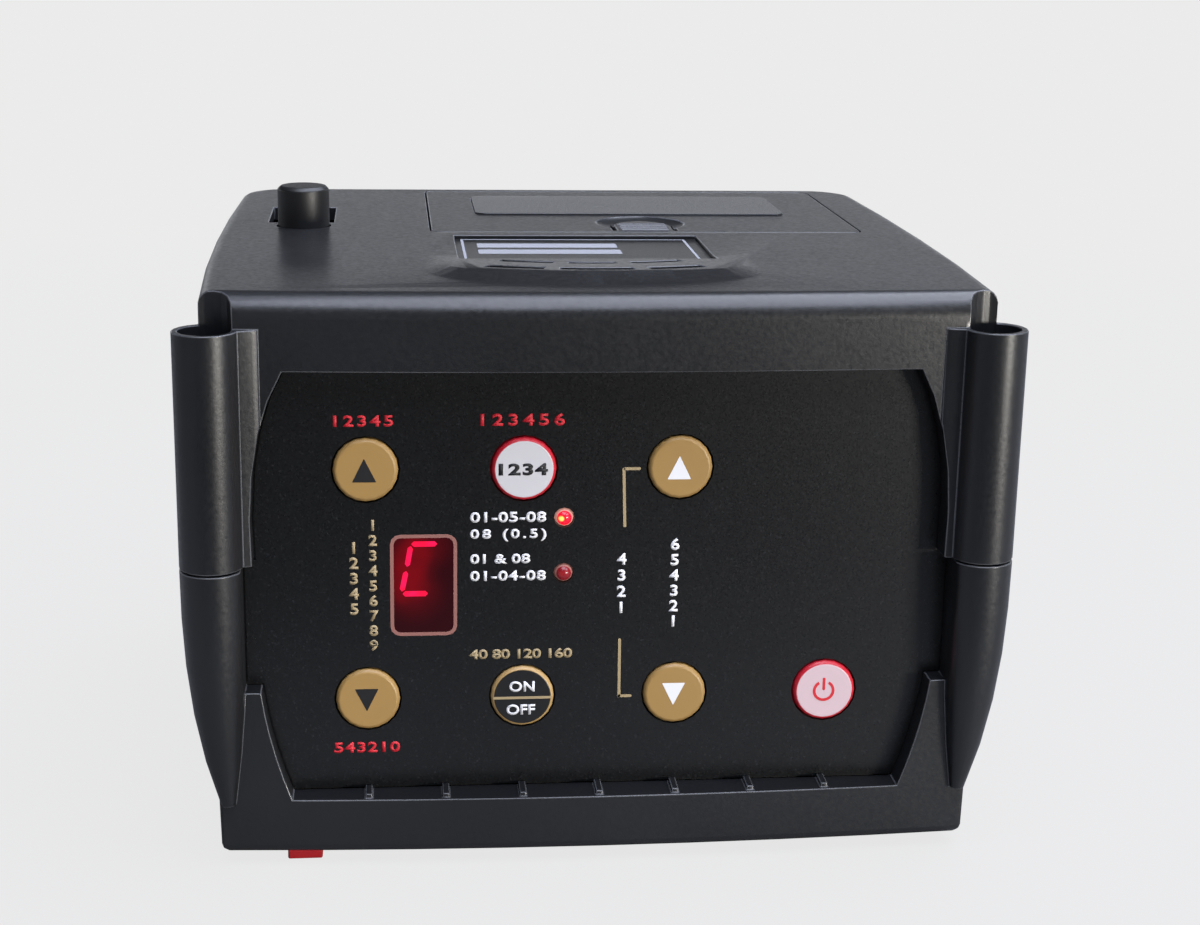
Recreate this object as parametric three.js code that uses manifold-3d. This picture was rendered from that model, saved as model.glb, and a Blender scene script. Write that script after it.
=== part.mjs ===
// An electronic shruti box: a drone instrument in a two-part moulded housing.
// Millimetres, +Z up. The control panel faces -Y and X runs to its right.
// The origin is on the ground, under the middle of the whole object.
import * as THREE from 'three';
import { mergeVertices } from 'three/addons/utils/BufferGeometryUtils.js';
import Module from 'manifold-3d';

const wasm = await Module();
wasm.setup();

// Fits and faceting
const seatGap = 0.1;
const runGap = 0.3;
const overrun = 2;
const weld = 0.0001;
const roundSides = 20;
const smallSides = 12;
const arcSteps = 3;
const cornerSteps = 2;
const sweepSteps = 5;

// Housing
const footHeight = 2.2;
const shellHeight = 88.5;
const seamHeight = 47.1;
const seamGap = 0.3;
const frontHalf = 60.1;
const middleHalf = 61.5;
const frontBow = 2.1;
const wall = 2.4;
const frontRound = 3.7;
const topRound = 2;
const bottomRound = 1.6;
const sideDraft = 1.2;
const frontCorner = 1.6;
const rearCorner = 9;
const leastCorner = 0.5;
const rootSink = 0.6;
const tongueThick = 1;
const tongueHeight = 2.4;

// Corner sleeves
const sleeveX = 59;
const sleeveReach = 3.35;
const sleeveWall = 0.95;
const sleeveRadius = 4.85;
const sleeveRimHeight = 83.3;
const cuffInner = 51.4;
const cuffProud = 1.1;
const cuffRamp = 2.6;
const cuffRampShares = [[0, 0.12], [0.33, 0.5], [1, 1]];
const hornLength = 38.5;
const hornTipRadius = 1.1;
const hornTipShift = 1.4;
const hornBend = 2.5;

// Control panel and its opening
const recessDepth = 5.3;
const openingTop = 77;
const openingTopHalf = 48;
const openingSeamHalf = 53;
const openingBulge = 6;
const notchHalf = 54.7;
const notchBottom = 26.7;
const cheekHalf = 52.2;
const openingBottom = 9;
const openingBottomHalf = 47.8;
const cheekBow = 1.1;
const lipThick = 1.5;
const panelThick = 2;
const panelMargin = 1.3;
const overlayThick = 0.4;
const ledgeRibs = 7;
const ledgeRibWide = 1.1;
const ledgeRibHigh = 0.7;

// Keys, lamps and display
const columnPitch = 24;
const upperRow = 61;
const rowDrop = 36.9;
const keyRadius = 4.95;
const keyProud = 0.6;
const keyRound = 0.45;
const keyFlange = 0.9;
const keyFlangeThick = 1;
const keyTravel = 0.6;
const stemRadius = 2;
const switchSide = 6;
const switchThick = 3.5;
const plungerRadius = 1.7;
const plungerReach = 1.2;
const boardGap = 7.2;
const boardThick = 1.6;
const boardReach = 7.9;
const lampRadius = 1.5;
const lampLength = 4.2;
const lampLegWide = 0.5;
const lampX = -5.75;
const upperLampDrop = 7.9;
const lampPitch = 8.9;
const windowWide = 9.9;
const windowHigh = 16;
const windowCorner = 1.4;
const windowX = -27.3;
const windowDrop = 18.5;
const displayWide = 12.6;
const displayHigh = 19;

// Speaker grille and name plate
const grilleNearY = 14.5;
const grilleArc = 45;
const grilleHalf = 21.8;
const grilleCorner = 6;
const grilleSkirt = 5.2;
const grilleRise = 1.25;
const grilleFlushY = 37;
const slotInsets = [3.4, 11.3];
const slotWides = [3, 2.2];
const slotMiddle = [8, 6.5];
const slotSideFrom = [11.4, 10.7];
const slotSideTo = [24.3, 25.5];
const plateHalf = 21;
const plateNearY = 31.8;
const plateFarY = 57.4;
const plateSunk = 1.2;
const plateThick = 0.5;
const speakerY = 35.6;
const speakerRadius = 22.5;
const speakerFlange = 3.2;
const speakerRimThick = 1.4;
const speakerDepth = 11;
const magnetRadius = 12;
const magnetThick = 7;
const sheet = 0.9;
const domeShares = [[1, 0], [0.7, 0.35], [0, 0.5]];

// Battery door, bay, holder and cells
const doorLeft = -24.7;
const doorRight = 51.4;
const doorNearY = 61.4;
const doorRearStrip = 4.6;
const doorCorner = 1.8;
const doorThick = 2.1;
const doorLedge = 1.4;
const labelLeft = -16.2;
const labelRight = 41.3;
const labelNearY = 81.6;
const labelFarY = 104.8;
const labelSunk = 0.25;
const labelThick = 0.4;
const labelCorner = 2;
const latchX = 13;
const latchHalf = 5.8;
const latchReach = 13.4;
const latchSlit = 0.8;
const latchRidges = 4;
const latchRidgeStart = 2.4;
const latchRidgePitch = 1.9;
const latchRidgeHigh = 0.35;
const scoopBeyond = 2.2;
const scoopReach = 8.2;
const scoopDepth = 1;
const latchHookThick = 0.9;
const latchHookDrop = 1.3;
const hingeTabWide = 9;
const hingeTabInset = 13.5;
const hingeTabReach = 1.6;
const hingeTabDrop = 1.5;
const cellRadius = 7.1;
const cellLength = 49.2;
const cellNubRadius = 2.7;
const cellNubLength = 1.2;
const cellSpacing = 14.4;
const contactRoom = 6.2;
const holderWall = 1.6;
const bayWall = 2;
const bayGap = 0.6;
const bayTail = 4.6;

// Supply socket and plug
const socketInset = 14.5;
const socketY = 68.7;
const socketSlotShift = 0.55;
const socketSlotNearY = 71.6;
const socketSlotWide = 11.5;
const socketSlotLong = 18.8;
const socketWide = 10.4;
const socketDeep = 13;
const socketHigh = 14;
const barrelRadius = 2.75;
const barrelLength = 9.5;
const plugRadius = 4.5;
const plugRise = 7;
const plugRound = 0.6;

// Selector, main board, feet and screws
const selectorInset = 14;
const knobWide = 5.4;
const knobDeep = 4.6;
const knobProud = 1.9;
const knobTravel = 4;
const knobSetback = 2.1;
const selectorHigh = 4.6;
const mainBoardWide = 84;
const mainBoardDeep = 74;
const mainBoardY = 62;
const standoffHigh = 5;
const standoffRadius = 2.4;
const standoffInset = 3.8;
const stakeRadius = 1.2;
const footRadius = 5;
const footSunk = 0.5;
const footSideInset = 25.5;
const footInset = 20;
const bossRadius = 4.4;
const bossSideInset = 12.5;
const frontBossY = 24;
const rearBossSideInset = 16.5;
const rearBossInset = 12.5;
const screwRadius = 1.4;
const screwHeadRadius = 2.8;
const screwHeadHigh = 2;
const screwBite = 6;
const screwRecess = 34;

// Leads inside
const leadRadius = 0.8;
const leadSteps = 3;
const leadBend = 9;
const leadSlack = 5;
const supplyLeadInset = 6;
const holderLeadUp = 5;
const holderLeadReach = 12;
const ribbonWide = 20.3;
const ribbonThick = 0.8;
const ribbonRise = 14.6;
const ribbonReach = 13.3;

// Planes worked out from the sizes above
const holderDeep = cellSpacing * 3 + runGap * 2;
const doorLong = doorLedge + latchHookThick + runGap * 2 + holderDeep + bayTail;
const bodyDepth = doorNearY + doorLong + doorRearStrip;
const frontY = sleeveReach - (bodyDepth + sleeveReach) / 2;
const rearY = frontY + bodyDepth;
const panelY = frontY + recessDepth;
const sleeveY = frontY - sleeveReach + sleeveRadius;
const socketX = socketInset - middleHalf;
const socketSlotX = socketX - socketSlotShift;
const selectorX = selectorInset - frontHalf;
const footX = middleHalf - footSideInset;
const bossX = middleHalf - bossSideInset;
const rearBossX = middleHalf - rearBossSideInset;
const bottomZ = footHeight;
const topZ = bottomZ + shellHeight;
const seamZ = bottomZ + seamHeight;
const rimZ = bottomZ + sleeveRimHeight;
const ceilingZ = topZ - wall;
const floorZ = bottomZ + wall;
const upperRowZ = bottomZ + upperRow;
const lowerRowZ = upperRowZ - rowDrop;
const plateBackY = panelY + overlayThick + seatGap + panelThick;
const boardY = plateBackY + boardGap;
const switchFaceY = boardY - seatGap - switchThick;

// A closed geometry becomes a solid once only its positions are left and merged
function solid(geometry) {
  const bare = new THREE.BufferGeometry();
  bare.setAttribute('position', geometry.getAttribute('position').clone());
  if (geometry.index) bare.setIndex(geometry.index.clone());
  const merged = mergeVertices(bare, weld);
  const index = merged.index.array;
  const kept = [];
  for (let i = 0; i < index.length; i += 3) {
    const [a, b, c] = [index[i], index[i + 1], index[i + 2]];
    if (a !== b && b !== c && c !== a) kept.push(a, b, c);
  }
  const vertProperties = new Float32Array(merged.getAttribute('position').array);
  const triVerts = new Uint32Array(kept);
  return new wasm.Manifold(new wasm.Mesh({ numProp: 3, vertProperties, triVerts }));
}

function geometryOf(body) {
  const mesh = body.getMesh();
  const geometry = new THREE.BufferGeometry();
  geometry.setAttribute('position', new THREE.BufferAttribute(mesh.vertProperties, 3));
  geometry.setIndex(new THREE.BufferAttribute(mesh.triVerts, 1));
  const flat = geometry.toNonIndexed();
  flat.computeVertexNormals();
  return flat;
}

const join = (...bodies) => bodies.reduce((whole, next) => whole.add(next));
const cut = (whole, ...tools) => tools.reduce((left, tool) => left.subtract(tool), whole);

// Boxes by their limits, round bars along each axis, and flat outlines given a thickness
function box(x0, x1, y0, y1, z0, z1) {
  const geometry = new THREE.BoxGeometry(x1 - x0, y1 - y0, z1 - z0);
  geometry.translate((x0 + x1) / 2, (y0 + y1) / 2, (z0 + z1) / 2);
  return solid(geometry);
}

function barZ(x, y, z0, z1, radius, sides = roundSides, endRadius = radius) {
  const geometry = new THREE.CylinderGeometry(endRadius, radius, z1 - z0, sides);
  geometry.rotateX(Math.PI / 2);
  geometry.translate(x, y, (z0 + z1) / 2);
  return solid(geometry);
}

function barY(x, z, y0, y1, radius, sides = roundSides) {
  const geometry = new THREE.CylinderGeometry(radius, radius, y1 - y0, sides);
  geometry.translate(x, (y0 + y1) / 2, z);
  return solid(geometry);
}

function extruded(shape, depth, curveSegments) {
  return new THREE.ExtrudeGeometry(shape, { depth, bevelEnabled: false, curveSegments });
}

function plateXZ(shape, y0, y1, steps = cornerSteps) {
  const geometry = extruded(shape, y1 - y0, steps);
  geometry.rotateX(Math.PI / 2);
  geometry.translate(0, y1, 0);
  return solid(geometry);
}

function plateXY(shape, z0, z1, steps = cornerSteps) {
  const geometry = extruded(shape, z1 - z0, steps);
  geometry.translate(0, 0, z0);
  return solid(geometry);
}

function turned(profile, sides = roundSides) {
  const points = profile.map(([radius, along]) => new THREE.Vector2(radius, along));
  return new THREE.LatheGeometry(points, sides);
}

function shapeOf(points) {
  return new THREE.Shape(points.map(([x, y]) => new THREE.Vector2(x, y)));
}

function roundedRectangle(x, y, wide, high, radius) {
  const shape = new THREE.Shape();
  const [left, right, low, top] = [x - wide / 2, x + wide / 2, y - high / 2, y + high / 2];
  shape.absarc(right - radius, low + radius, radius, -Math.PI / 2, 0);
  shape.absarc(right - radius, top - radius, radius, 0, Math.PI / 2);
  shape.absarc(left + radius, top - radius, radius, Math.PI / 2, Math.PI);
  shape.absarc(left + radius, low + radius, radius, Math.PI, Math.PI * 1.5);
  return shape;
}

// Rings of equally many points are skinned into one closed body
function loft(rings) {
  const count = rings[0].length;
  const positions = rings.flat().flat();
  const index = [];
  for (let r = 0; r + 1 < rings.length; r += 1) {
    for (let i = 0; i < count; i += 1) {
      const [a, b] = [r * count + i, r * count + ((i + 1) % count)];
      index.push(a, b, b + count, a, b + count, a + count);
    }
  }
  const outline = rings[0].map(([x, y]) => new THREE.Vector2(x, y));
  const last = (rings.length - 1) * count;
  for (const [a, b, c] of THREE.ShapeUtils.triangulateShape(outline, [])) {
    index.push(c, b, a, last + a, last + b, last + c);
  }
  const geometry = new THREE.BufferGeometry();
  geometry.setAttribute('position', new THREE.Float32BufferAttribute(positions, 3));
  geometry.setIndex(index);
  return solid(geometry);
}

// Housing plan: the front bows out, the sides are barrelled and the rear corners are round
const widestY = (frontY + rearY) / 2;
const bowAt = (x) => frontBow * (x / frontHalf) ** 2;
const halfAt = (y) => middleHalf - (middleHalf - frontHalf) * ((y - widestY) / (widestY - frontY)) ** 2;

function planRing(z, front, side, rear = side) {
  const near = Math.max(frontCorner - side, leastCorner);
  const far = Math.max(rearCorner - side, leastCorner);
  const right = [];
  const frontSteps = 4;
  const nearX = halfAt(frontY) - side - near;
  for (let i = 0; i <= frontSteps; i += 1) {
    const x = nearX * i / frontSteps;
    right.push([x, frontY + bowAt(x) + front, z]);
  }
  const nearY = frontY + bowAt(nearX) + front + near;
  for (let i = 1; i <= arcSteps; i += 1) {
    const turn = Math.PI / 2 * i / arcSteps;
    right.push([nearX + near * Math.sin(turn), nearY - near * Math.cos(turn), z]);
  }
  const farY = rearY - rear - far;
  const sideSteps = 4;
  for (let i = 1; i < sideSteps; i += 1) {
    const y = nearY + (farY - nearY) * i / sideSteps;
    right.push([halfAt(y) - side, y, z]);
  }
  const farX = halfAt(farY) - side - far;
  const rearSteps = arcSteps * 2;
  for (let i = 0; i <= rearSteps; i += 1) {
    const turn = Math.PI / 2 * i / rearSteps;
    right.push([farX + far * Math.cos(turn), farY + far * Math.sin(turn), z]);
  }
  const left = right.slice(1).reverse().map(([x, y, height]) => [-x, y, height]);
  return [...right, ...left];
}

// How far an edge rounding draws the wall in at a height above the rounding's start
const drawIn = (rise, radius) => (rise > 0 ? radius - Math.sqrt(Math.max(radius ** 2 - rise ** 2, 0)) : 0);

function upperOutside() {
  const rings = [planRing(seamZ + seamGap / 2, 0, 0)];
  const steps = 6;
  for (let i = 0; i <= steps; i += 1) {
    const z = topZ - frontRound + frontRound * Math.sin(Math.PI / 2 * i / steps);
    const side = drawIn(z - topZ + topRound, topRound);
    rings.push(planRing(z, drawIn(z - topZ + frontRound, frontRound), side));
  }
  return loft(rings);
}

function upperInside() {
  const start = topZ - frontRound;
  return loft([
    planRing(seamZ - overrun, wall, wall),
    planRing(start, wall, wall),
    planRing((start + ceilingZ) / 2, wall + drawIn((ceilingZ - start) / 2, frontRound - wall), wall),
    planRing(ceilingZ, frontRound, wall),
  ]);
}

function lowerOutside() {
  const rings = [];
  for (let i = 0; i <= arcSteps; i += 1) {
    const turn = Math.PI / 2 * i / arcSteps;
    const inset = bottomRound * (1 - Math.sin(turn));
    rings.push(planRing(bottomZ + bottomRound * (1 - Math.cos(turn)), inset, inset + sideDraft, inset));
  }
  rings.push(planRing(seamZ - seamGap / 2, 0, 0));
  return loft(rings);
}

function lowerInside() {
  return loft([
    planRing(floorZ, wall, wall + sideDraft, wall),
    planRing(seamZ + overrun, wall, wall),
  ]);
}

// The opening that frames the panel: bulged sides above the seam, a wider notch and slanted cheeks below it
function upperOpening(grow) {
  const shape = new THREE.Shape();
  const low = seamZ - seamGap;
  const top = bottomZ + openingTop + grow;
  const bulgeZ = bottomZ + upperRow + openingBulge;
  const corner = openingSeamHalf + cheekBow + grow;
  shape.moveTo(-openingSeamHalf - grow, low);
  shape.lineTo(openingSeamHalf + grow, low);
  shape.quadraticCurveTo(corner, bulgeZ, openingTopHalf + grow, top);
  shape.lineTo(-openingTopHalf - grow, top);
  shape.quadraticCurveTo(-corner, bulgeZ, -openingSeamHalf - grow, low);
  return shape;
}

function lowerOpening(grow, top = seamZ + seamGap) {
  const shape = new THREE.Shape();
  const step = bottomZ + notchBottom - grow;
  const low = bottomZ + openingBottom - grow;
  const middle = (step + low) / 2;
  const cheek = (cheekHalf + openingBottomHalf) / 2 + cheekBow + grow;
  shape.moveTo(notchHalf + grow, top);
  shape.lineTo(-notchHalf - grow, top);
  shape.lineTo(-notchHalf - grow, step);
  shape.lineTo(-cheekHalf - grow, step);
  shape.quadraticCurveTo(-cheek, middle, -openingBottomHalf - grow, low);
  shape.lineTo(openingBottomHalf + grow, low);
  shape.quadraticCurveTo(cheek, middle, cheekHalf + grow, step);
  shape.lineTo(notchHalf + grow, step);
  return shape;
}

// Corner sleeves: an open tube and its cuff above the seam, a closed horn below it
function cuffShape(side) {
  const front = (x, proud) => [side * x, frontY + bowAt(x) - proud];
  return shapeOf([
    front(cuffInner, -rootSink),
    ...cuffRampShares.map(([along, out]) => front(cuffInner + cuffRamp * along, cuffProud * out)),
    front(sleeveX, cuffProud),
    front(sleeveX, -rootSink),
  ]);
}

function sleeve(side) {
  const tube = barZ(side * sleeveX, sleeveY, seamZ + seamGap / 2, rimZ, sleeveRadius);
  const behindGroove = barZ(side * sleeveX, sleeveY, rimZ, topZ, sleeveRadius).intersect(upperOutside());
  return join(tube, plateXY(cuffShape(side), seamZ + seamGap / 2, rimZ), behindGroove);
}

// The bore runs on above the rim as a groove in the housing's corner
function sleeveBore(side) {
  return barZ(side * sleeveX, sleeveY, seamZ - overrun, topZ + overrun, sleeveRadius - sleeveWall);
}

function horn(side) {
  const rings = [];
  const steps = 5;
  for (let i = steps; i >= 0; i -= 1) {
    const share = i / steps;
    const bend = share ** hornBend;
    const radius = sleeveRadius + (hornTipRadius - sleeveRadius) * bend;
    const x = side * (sleeveX - hornTipShift * bend);
    const z = seamZ - seamGap / 2 - hornLength * share;
    const ring = [];
    for (let k = 0; k < roundSides; k += 1) {
      const turn = Math.PI * 2 * k / roundSides;
      ring.push([x + radius * Math.cos(turn), sleeveY + radius * Math.sin(turn), z]);
    }
    rings.push(ring);
  }
  return loft(rings);
}

// Raised, slightly tilted grille with arcs of slots, and the shallow recess for the name plate
const grilleFlush = frontY + grilleFlushY;
const grilleCentre = frontY + grilleNearY + grilleArc;

function grilleRing(grow, z) {
  const [arc, corner, half] = [grilleArc + grow, grilleCorner + grow, grilleHalf + grow];
  const lean = Math.asin((half - corner) / (arc - corner));
  const right = [];
  for (let i = 0; i <= sweepSteps; i += 1) {
    const turn = lean * i / sweepSteps;
    right.push([arc * Math.sin(turn), grilleCentre - arc * Math.cos(turn), z]);
  }
  const middleY = grilleCentre - (arc - corner) * Math.cos(lean);
  for (let i = 1; i <= sweepSteps; i += 1) {
    const turn = lean + (Math.PI / 2 - lean) * i / sweepSteps;
    right.push([half - corner + corner * Math.sin(turn), middleY - corner * Math.cos(turn), z]);
  }
  right.push([half, grilleFlush, z]);
  const left = right.slice(1).reverse().map(([x, y, height]) => [-x, y, height]);
  return [...right, ...left];
}

function grilleBoss() {
  const foot = grilleSkirt * (grilleRise + rootSink) / grilleRise;
  const skirt = loft([grilleRing(foot, topZ - rootSink), grilleRing(0, topZ + grilleRise)]);
  const tilt = Math.atan2(grilleRise, grilleFlushY - grilleNearY);
  const lid = new THREE.BoxGeometry(bodyDepth, bodyDepth, shellHeight);
  lid.translate(0, 0, shellHeight / 2);
  lid.rotateX(-tilt);
  lid.translate(0, grilleFlush, topZ);
  return cut(skirt, solid(lid));
}

function arcSlot(row, from, to) {
  const radius = grilleArc - slotInsets[row];
  const half = slotWides[row] / 2;
  const [start, end] = [THREE.MathUtils.degToRad(from - 90), THREE.MathUtils.degToRad(to - 90)];
  const shape = new THREE.Shape();
  shape.absarc(0, grilleCentre, radius + half, start, end, false);
  shape.absarc(0, grilleCentre, radius - half, end, start, true);
  return plateXY(shape, ceilingZ - overrun, topZ + grilleRise + overrun, sweepSteps);
}

function grilleSlots() {
  return slotInsets.flatMap((_, row) => [
    arcSlot(row, -slotMiddle[row], slotMiddle[row]),
    arcSlot(row, slotSideFrom[row], slotSideTo[row]),
    arcSlot(row, -slotSideTo[row], -slotSideFrom[row]),
  ]);
}

const plateFloorZ = topZ - plateSunk;

function plateRecess() {
  return box(-plateHalf, plateHalf, frontY + plateNearY, frontY + plateFarY, plateFloorZ, topZ + overrun);
}

// Battery bay: an open well that hangs from the top wall and runs back to the rear wall
const doorNear = frontY + doorNearY;
const doorFar = doorNear + doorLong;
const bayLeft = doorLeft + doorLedge;
const bayRight = doorRight - doorLedge;
const bayNear = doorNear + doorLedge;
const bayFar = rearY - wall;
const holderHigh = cellRadius * 4 + holderWall + runGap * 2;
const bayFloorZ = topZ - doorThick - bayGap - holderHigh;

function doorShape(grow) {
  const [wide, long] = [doorRight - doorLeft + grow * 2, doorLong + grow * 2];
  return roundedRectangle((doorLeft + doorRight) / 2, doorNear + doorLong / 2, wide, long, doorCorner + grow);
}

function bayWell() {
  return box(bayLeft - bayWall, bayRight + bayWall, bayNear - bayWall, bayFar + rootSink,
    bayFloorZ - bayWall, ceilingZ + rootSink);
}

// One lead leaves the holder through a hole in the bay's near wall
const holderX = (bayLeft + bayRight) / 2;
const holderHalf = (cellLength + cellNubLength + contactRoom) / 2 + holderWall;
const holderNear = bayNear + latchHookThick + runGap * 2;
const holderFloor = bayFloorZ + seatGap;
const holderLeadX = holderX - holderHalf + holderWall / 2;
const holderLeadZ = holderFloor + holderLeadUp;

function bayRoom() {
  const room = box(bayLeft, bayRight, bayNear, bayFar, bayFloorZ, ceilingZ);
  const throat = box(bayLeft, bayRight, bayNear, doorFar + runGap, ceilingZ - overrun, topZ + overrun);
  const mouth = plateXY(doorShape(runGap), topZ - doorThick - seatGap, topZ + overrun);
  const [holeNear, holeFar] = [bayNear - bayWall - overrun, bayNear + overrun];
  const hole = barY(holderLeadX, holderLeadZ, holeNear, holeFar, leadRadius + runGap, smallSides);
  return join(room, throat, mouth, hole);
}

// Supply socket slot and the two ribs that grip the socket
const socketNear = frontY + socketY - socketDeep / 2;
const socketFar = socketNear + socketDeep;
const socketTop = ceilingZ - seatGap;

function socketSlot() {
  const near = frontY + socketSlotNearY;
  const hole = barZ(socketX, frontY + socketY, ceilingZ, topZ + overrun, plugRadius + runGap);
  const slot = box(socketSlotX - socketSlotWide / 2, socketSlotX + socketSlotWide / 2,
    near, near + socketSlotLong, ceilingZ, topZ + overrun);
  return join(hole, slot);
}

function socketRib(side) {
  const inner = socketX + side * (socketWide / 2 + seatGap);
  const outer = inner + side * wall;
  return box(Math.min(inner, outer), Math.max(inner, outer), socketNear, socketFar,
    ceilingZ - socketHigh / 2, ceilingZ + rootSink);
}

// Ribs that trap the panel's top and bottom edges from behind
const trapY = plateBackY + seatGap;

function trapRibs(z0, z1) {
  return [-1, 1].map((side) => {
    const x = side * columnPitch;
    return box(x - wall / 2, x + wall / 2, trapY, trapY + wall, z0, z1);
  });
}

// Screw bosses: wells in the lower shell, pilots in the upper one
const bosses = [
  [-bossX, frontY + frontBossY],
  [bossX, frontY + frontBossY],
  [-rearBossX, rearY - rearBossInset],
  [rearBossX, rearY - rearBossInset],
];
const screwSeatZ = bottomZ + screwRecess;

function upperBoss([x, y]) {
  const underBay = x > bayLeft && x < bayRight && y > bayNear;
  const top = (underBay ? bayFloorZ - bayWall : ceilingZ) + rootSink;
  return barZ(x, y, seamZ + seamGap / 2, top, bossRadius, smallSides);
}

function pilot([x, y]) {
  return barZ(x, y, seamZ - overrun, seamZ + screwBite + runGap, screwRadius + seatGap, smallSides);
}

function lowerBoss([x, y]) {
  return barZ(x, y, floorZ - rootSink, seamZ - seamGap / 2, bossRadius, smallSides);
}

function screwWell([x, y]) {
  const well = barZ(x, y, bottomZ - overrun, screwSeatZ, screwHeadRadius + runGap, smallSides);
  return join(well, barZ(x, y, screwSeatZ - overrun, seamZ + overrun, screwRadius + runGap, smallSides));
}

// Upper shell
function lip(outline) {
  return plateXZ(outline(lipThick), frontY + frontBow + seatGap, panelY + overlayThick, sweepSteps);
}

function throughFront(outline) {
  const [near, far] = [frontY - sleeveReach - overrun, panelY + overlayThick + overrun];
  return plateXZ(outline(0), near, far, sweepSteps);
}

function speakerRim() {
  const inner = speakerRadius + runGap;
  const y = frontY + speakerY;
  const ring = barZ(0, y, ceilingZ - speakerFlange, ceilingZ + rootSink, inner + speakerRimThick);
  return cut(ring, barZ(0, y, ceilingZ - speakerFlange - overrun, ceilingZ, inner));
}

function upperShell() {
  const bare = cut(upperOutside(), upperInside());
  const aboveSeam = box(-bodyDepth, bodyDepth, frontY, rearY, seamZ + seamGap / 2, topZ);
  const built = join(
    bare,
    lip(upperOpening).intersect(aboveSeam),
    sleeve(-1),
    sleeve(1),
    grilleBoss(),
    speakerRim(),
    bayWell(),
    socketRib(-1),
    socketRib(1),
    ...trapRibs(bottomZ + openingTop - lipThick, ceilingZ + rootSink),
    ...bosses.map(upperBoss),
  );
  return cut(built, throughFront(upperOpening), sleeveBore(-1), sleeveBore(1), bayRoom(), socketSlot(),
    plateRecess(), ...grilleSlots(), ...bosses.map(pilot));
}

// Lower shell with the tongue that lines up the two halves
function tongue() {
  const inset = wall + runGap;
  const low = seamZ - tongueHeight;
  const ring = (from, to, z0, z1) => cut(
    loft([planRing(z0, from, from), planRing(z1, from, from)]),
    loft([planRing(z0 - overrun, to, to), planRing(z1 + overrun, to, to)]),
  );
  const root = ring(wall - rootSink, inset + tongueThick, low, seamZ - seamGap / 2);
  const blade = ring(inset, inset + tongueThick, low, seamZ + tongueHeight);
  const start = frontY + sleeveReach + sleeveRadius;
  return join(root, blade).intersect(box(-bodyDepth, bodyDepth, start, rearY, low, topZ));
}

function ledgeRib(number) {
  const x = (number - (ledgeRibs - 1) / 2) * columnPitch / 2;
  const near = frontY + bowAt(x) + ledgeRibHigh;
  const ledge = bottomZ + openingBottom;
  const half = ledgeRibWide / 2;
  return box(x - half, x + half, near, panelY - seatGap, ledge - rootSink, ledge + ledgeRibHigh);
}

const selectorNear = frontY + bowAt(selectorX) + knobSetback;
const stemWide = knobWide / 2;
const stemDeep = knobDeep / 2;
const pocketHigh = wall / 2;

function selectorPocket() {
  const head = box(selectorX - knobWide / 2 - runGap, selectorX + knobWide / 2 + knobTravel + runGap,
    selectorNear - runGap, selectorNear + knobDeep + runGap, bottomZ - overrun, bottomZ + pocketHigh);
  const stem = box(selectorX - stemWide / 2 - runGap, selectorX + stemWide / 2 + knobTravel + runGap,
    selectorNear + stemDeep - runGap, selectorNear + knobDeep + runGap, bottomZ, floorZ + overrun);
  return join(head, stem);
}

const feet = [
  [-footX, frontY + footInset],
  [footX, frontY + footInset],
  [-footX, rearY - footInset],
  [footX, rearY - footInset],
];

const boardMiddleY = frontY + mainBoardY;
const stakeX = mainBoardWide / 2 - standoffInset;
const stakeY = mainBoardDeep / 2 - standoffInset;
const standoffs = [
  [-stakeX, boardMiddleY - stakeY],
  [stakeX, boardMiddleY - stakeY],
  [-stakeX, boardMiddleY + stakeY],
  [stakeX, boardMiddleY + stakeY],
];
const mainBoardZ = floorZ + standoffHigh + seatGap;

function standoff([x, y]) {
  const post = barZ(x, y, floorZ - rootSink, floorZ + standoffHigh, standoffRadius, smallSides);
  return join(post, barZ(x, y, floorZ, mainBoardZ + boardThick + stakeRadius, stakeRadius, smallSides));
}

function lowerShell() {
  const bare = cut(lowerOutside(), lowerInside());
  const belowSeam = box(-bodyDepth, bodyDepth, frontY, rearY, bottomZ, seamZ - seamGap / 2);
  const ribs = Array.from({ length: ledgeRibs }, (_, number) => ledgeRib(number));
  const [footLow, footHigh] = [bottomZ - overrun, bottomZ + footSunk];
  const footRecesses = feet.map(([x, y]) => barZ(x, y, footLow, footHigh, footRadius + runGap));
  const built = join(
    bare,
    lip(lowerOpening).intersect(belowSeam),
    horn(-1),
    horn(1),
    tongue(),
    ...trapRibs(floorZ - rootSink, bottomZ + openingBottom + lipThick),
    ...bosses.map(lowerBoss),
    ...standoffs.map(standoff),
  );
  const tools = [throughFront(lowerOpening), selectorPocket(), ...bosses.map(screwWell), ...footRecesses];
  return join(cut(built, ...tools), ...ribs);
}

// Keys, lamps and display: where each one sits on the panel
const column = (number) => (number - 1.5) * columnPitch;
const keys = [
  ['pitch_up', column(0), upperRowZ],
  ['mode', column(1), upperRowZ],
  ['volume_up', column(2), upperRowZ],
  ['pitch_down', column(0), lowerRowZ],
  ['metronome', column(1), lowerRowZ],
  ['volume_down', column(2), lowerRowZ],
  ['power', column(3), lowerRowZ],
];
const lamps = [
  ['upper_lamp', lampX, upperRowZ - upperLampDrop],
  ['lower_lamp', lampX, upperRowZ - upperLampDrop - lampPitch],
];
const windowZ = upperRowZ - windowDrop;

function windowShape(grow) {
  const [wide, high] = [windowWide + grow * 2, windowHigh + grow * 2];
  return roundedRectangle(windowX, windowZ, wide, high, windowCorner + grow);
}

function panelHoles(y0, y1) {
  const holes = keys.map(([, x, z]) => barY(x, z, y0, y1, keyRadius + runGap));
  lamps.forEach(([, x, z]) => holes.push(barY(x, z, y0, y1, lampRadius + seatGap, smallSides)));
  holes.push(plateXZ(windowShape(seatGap), y0, y1));
  return holes;
}

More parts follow.
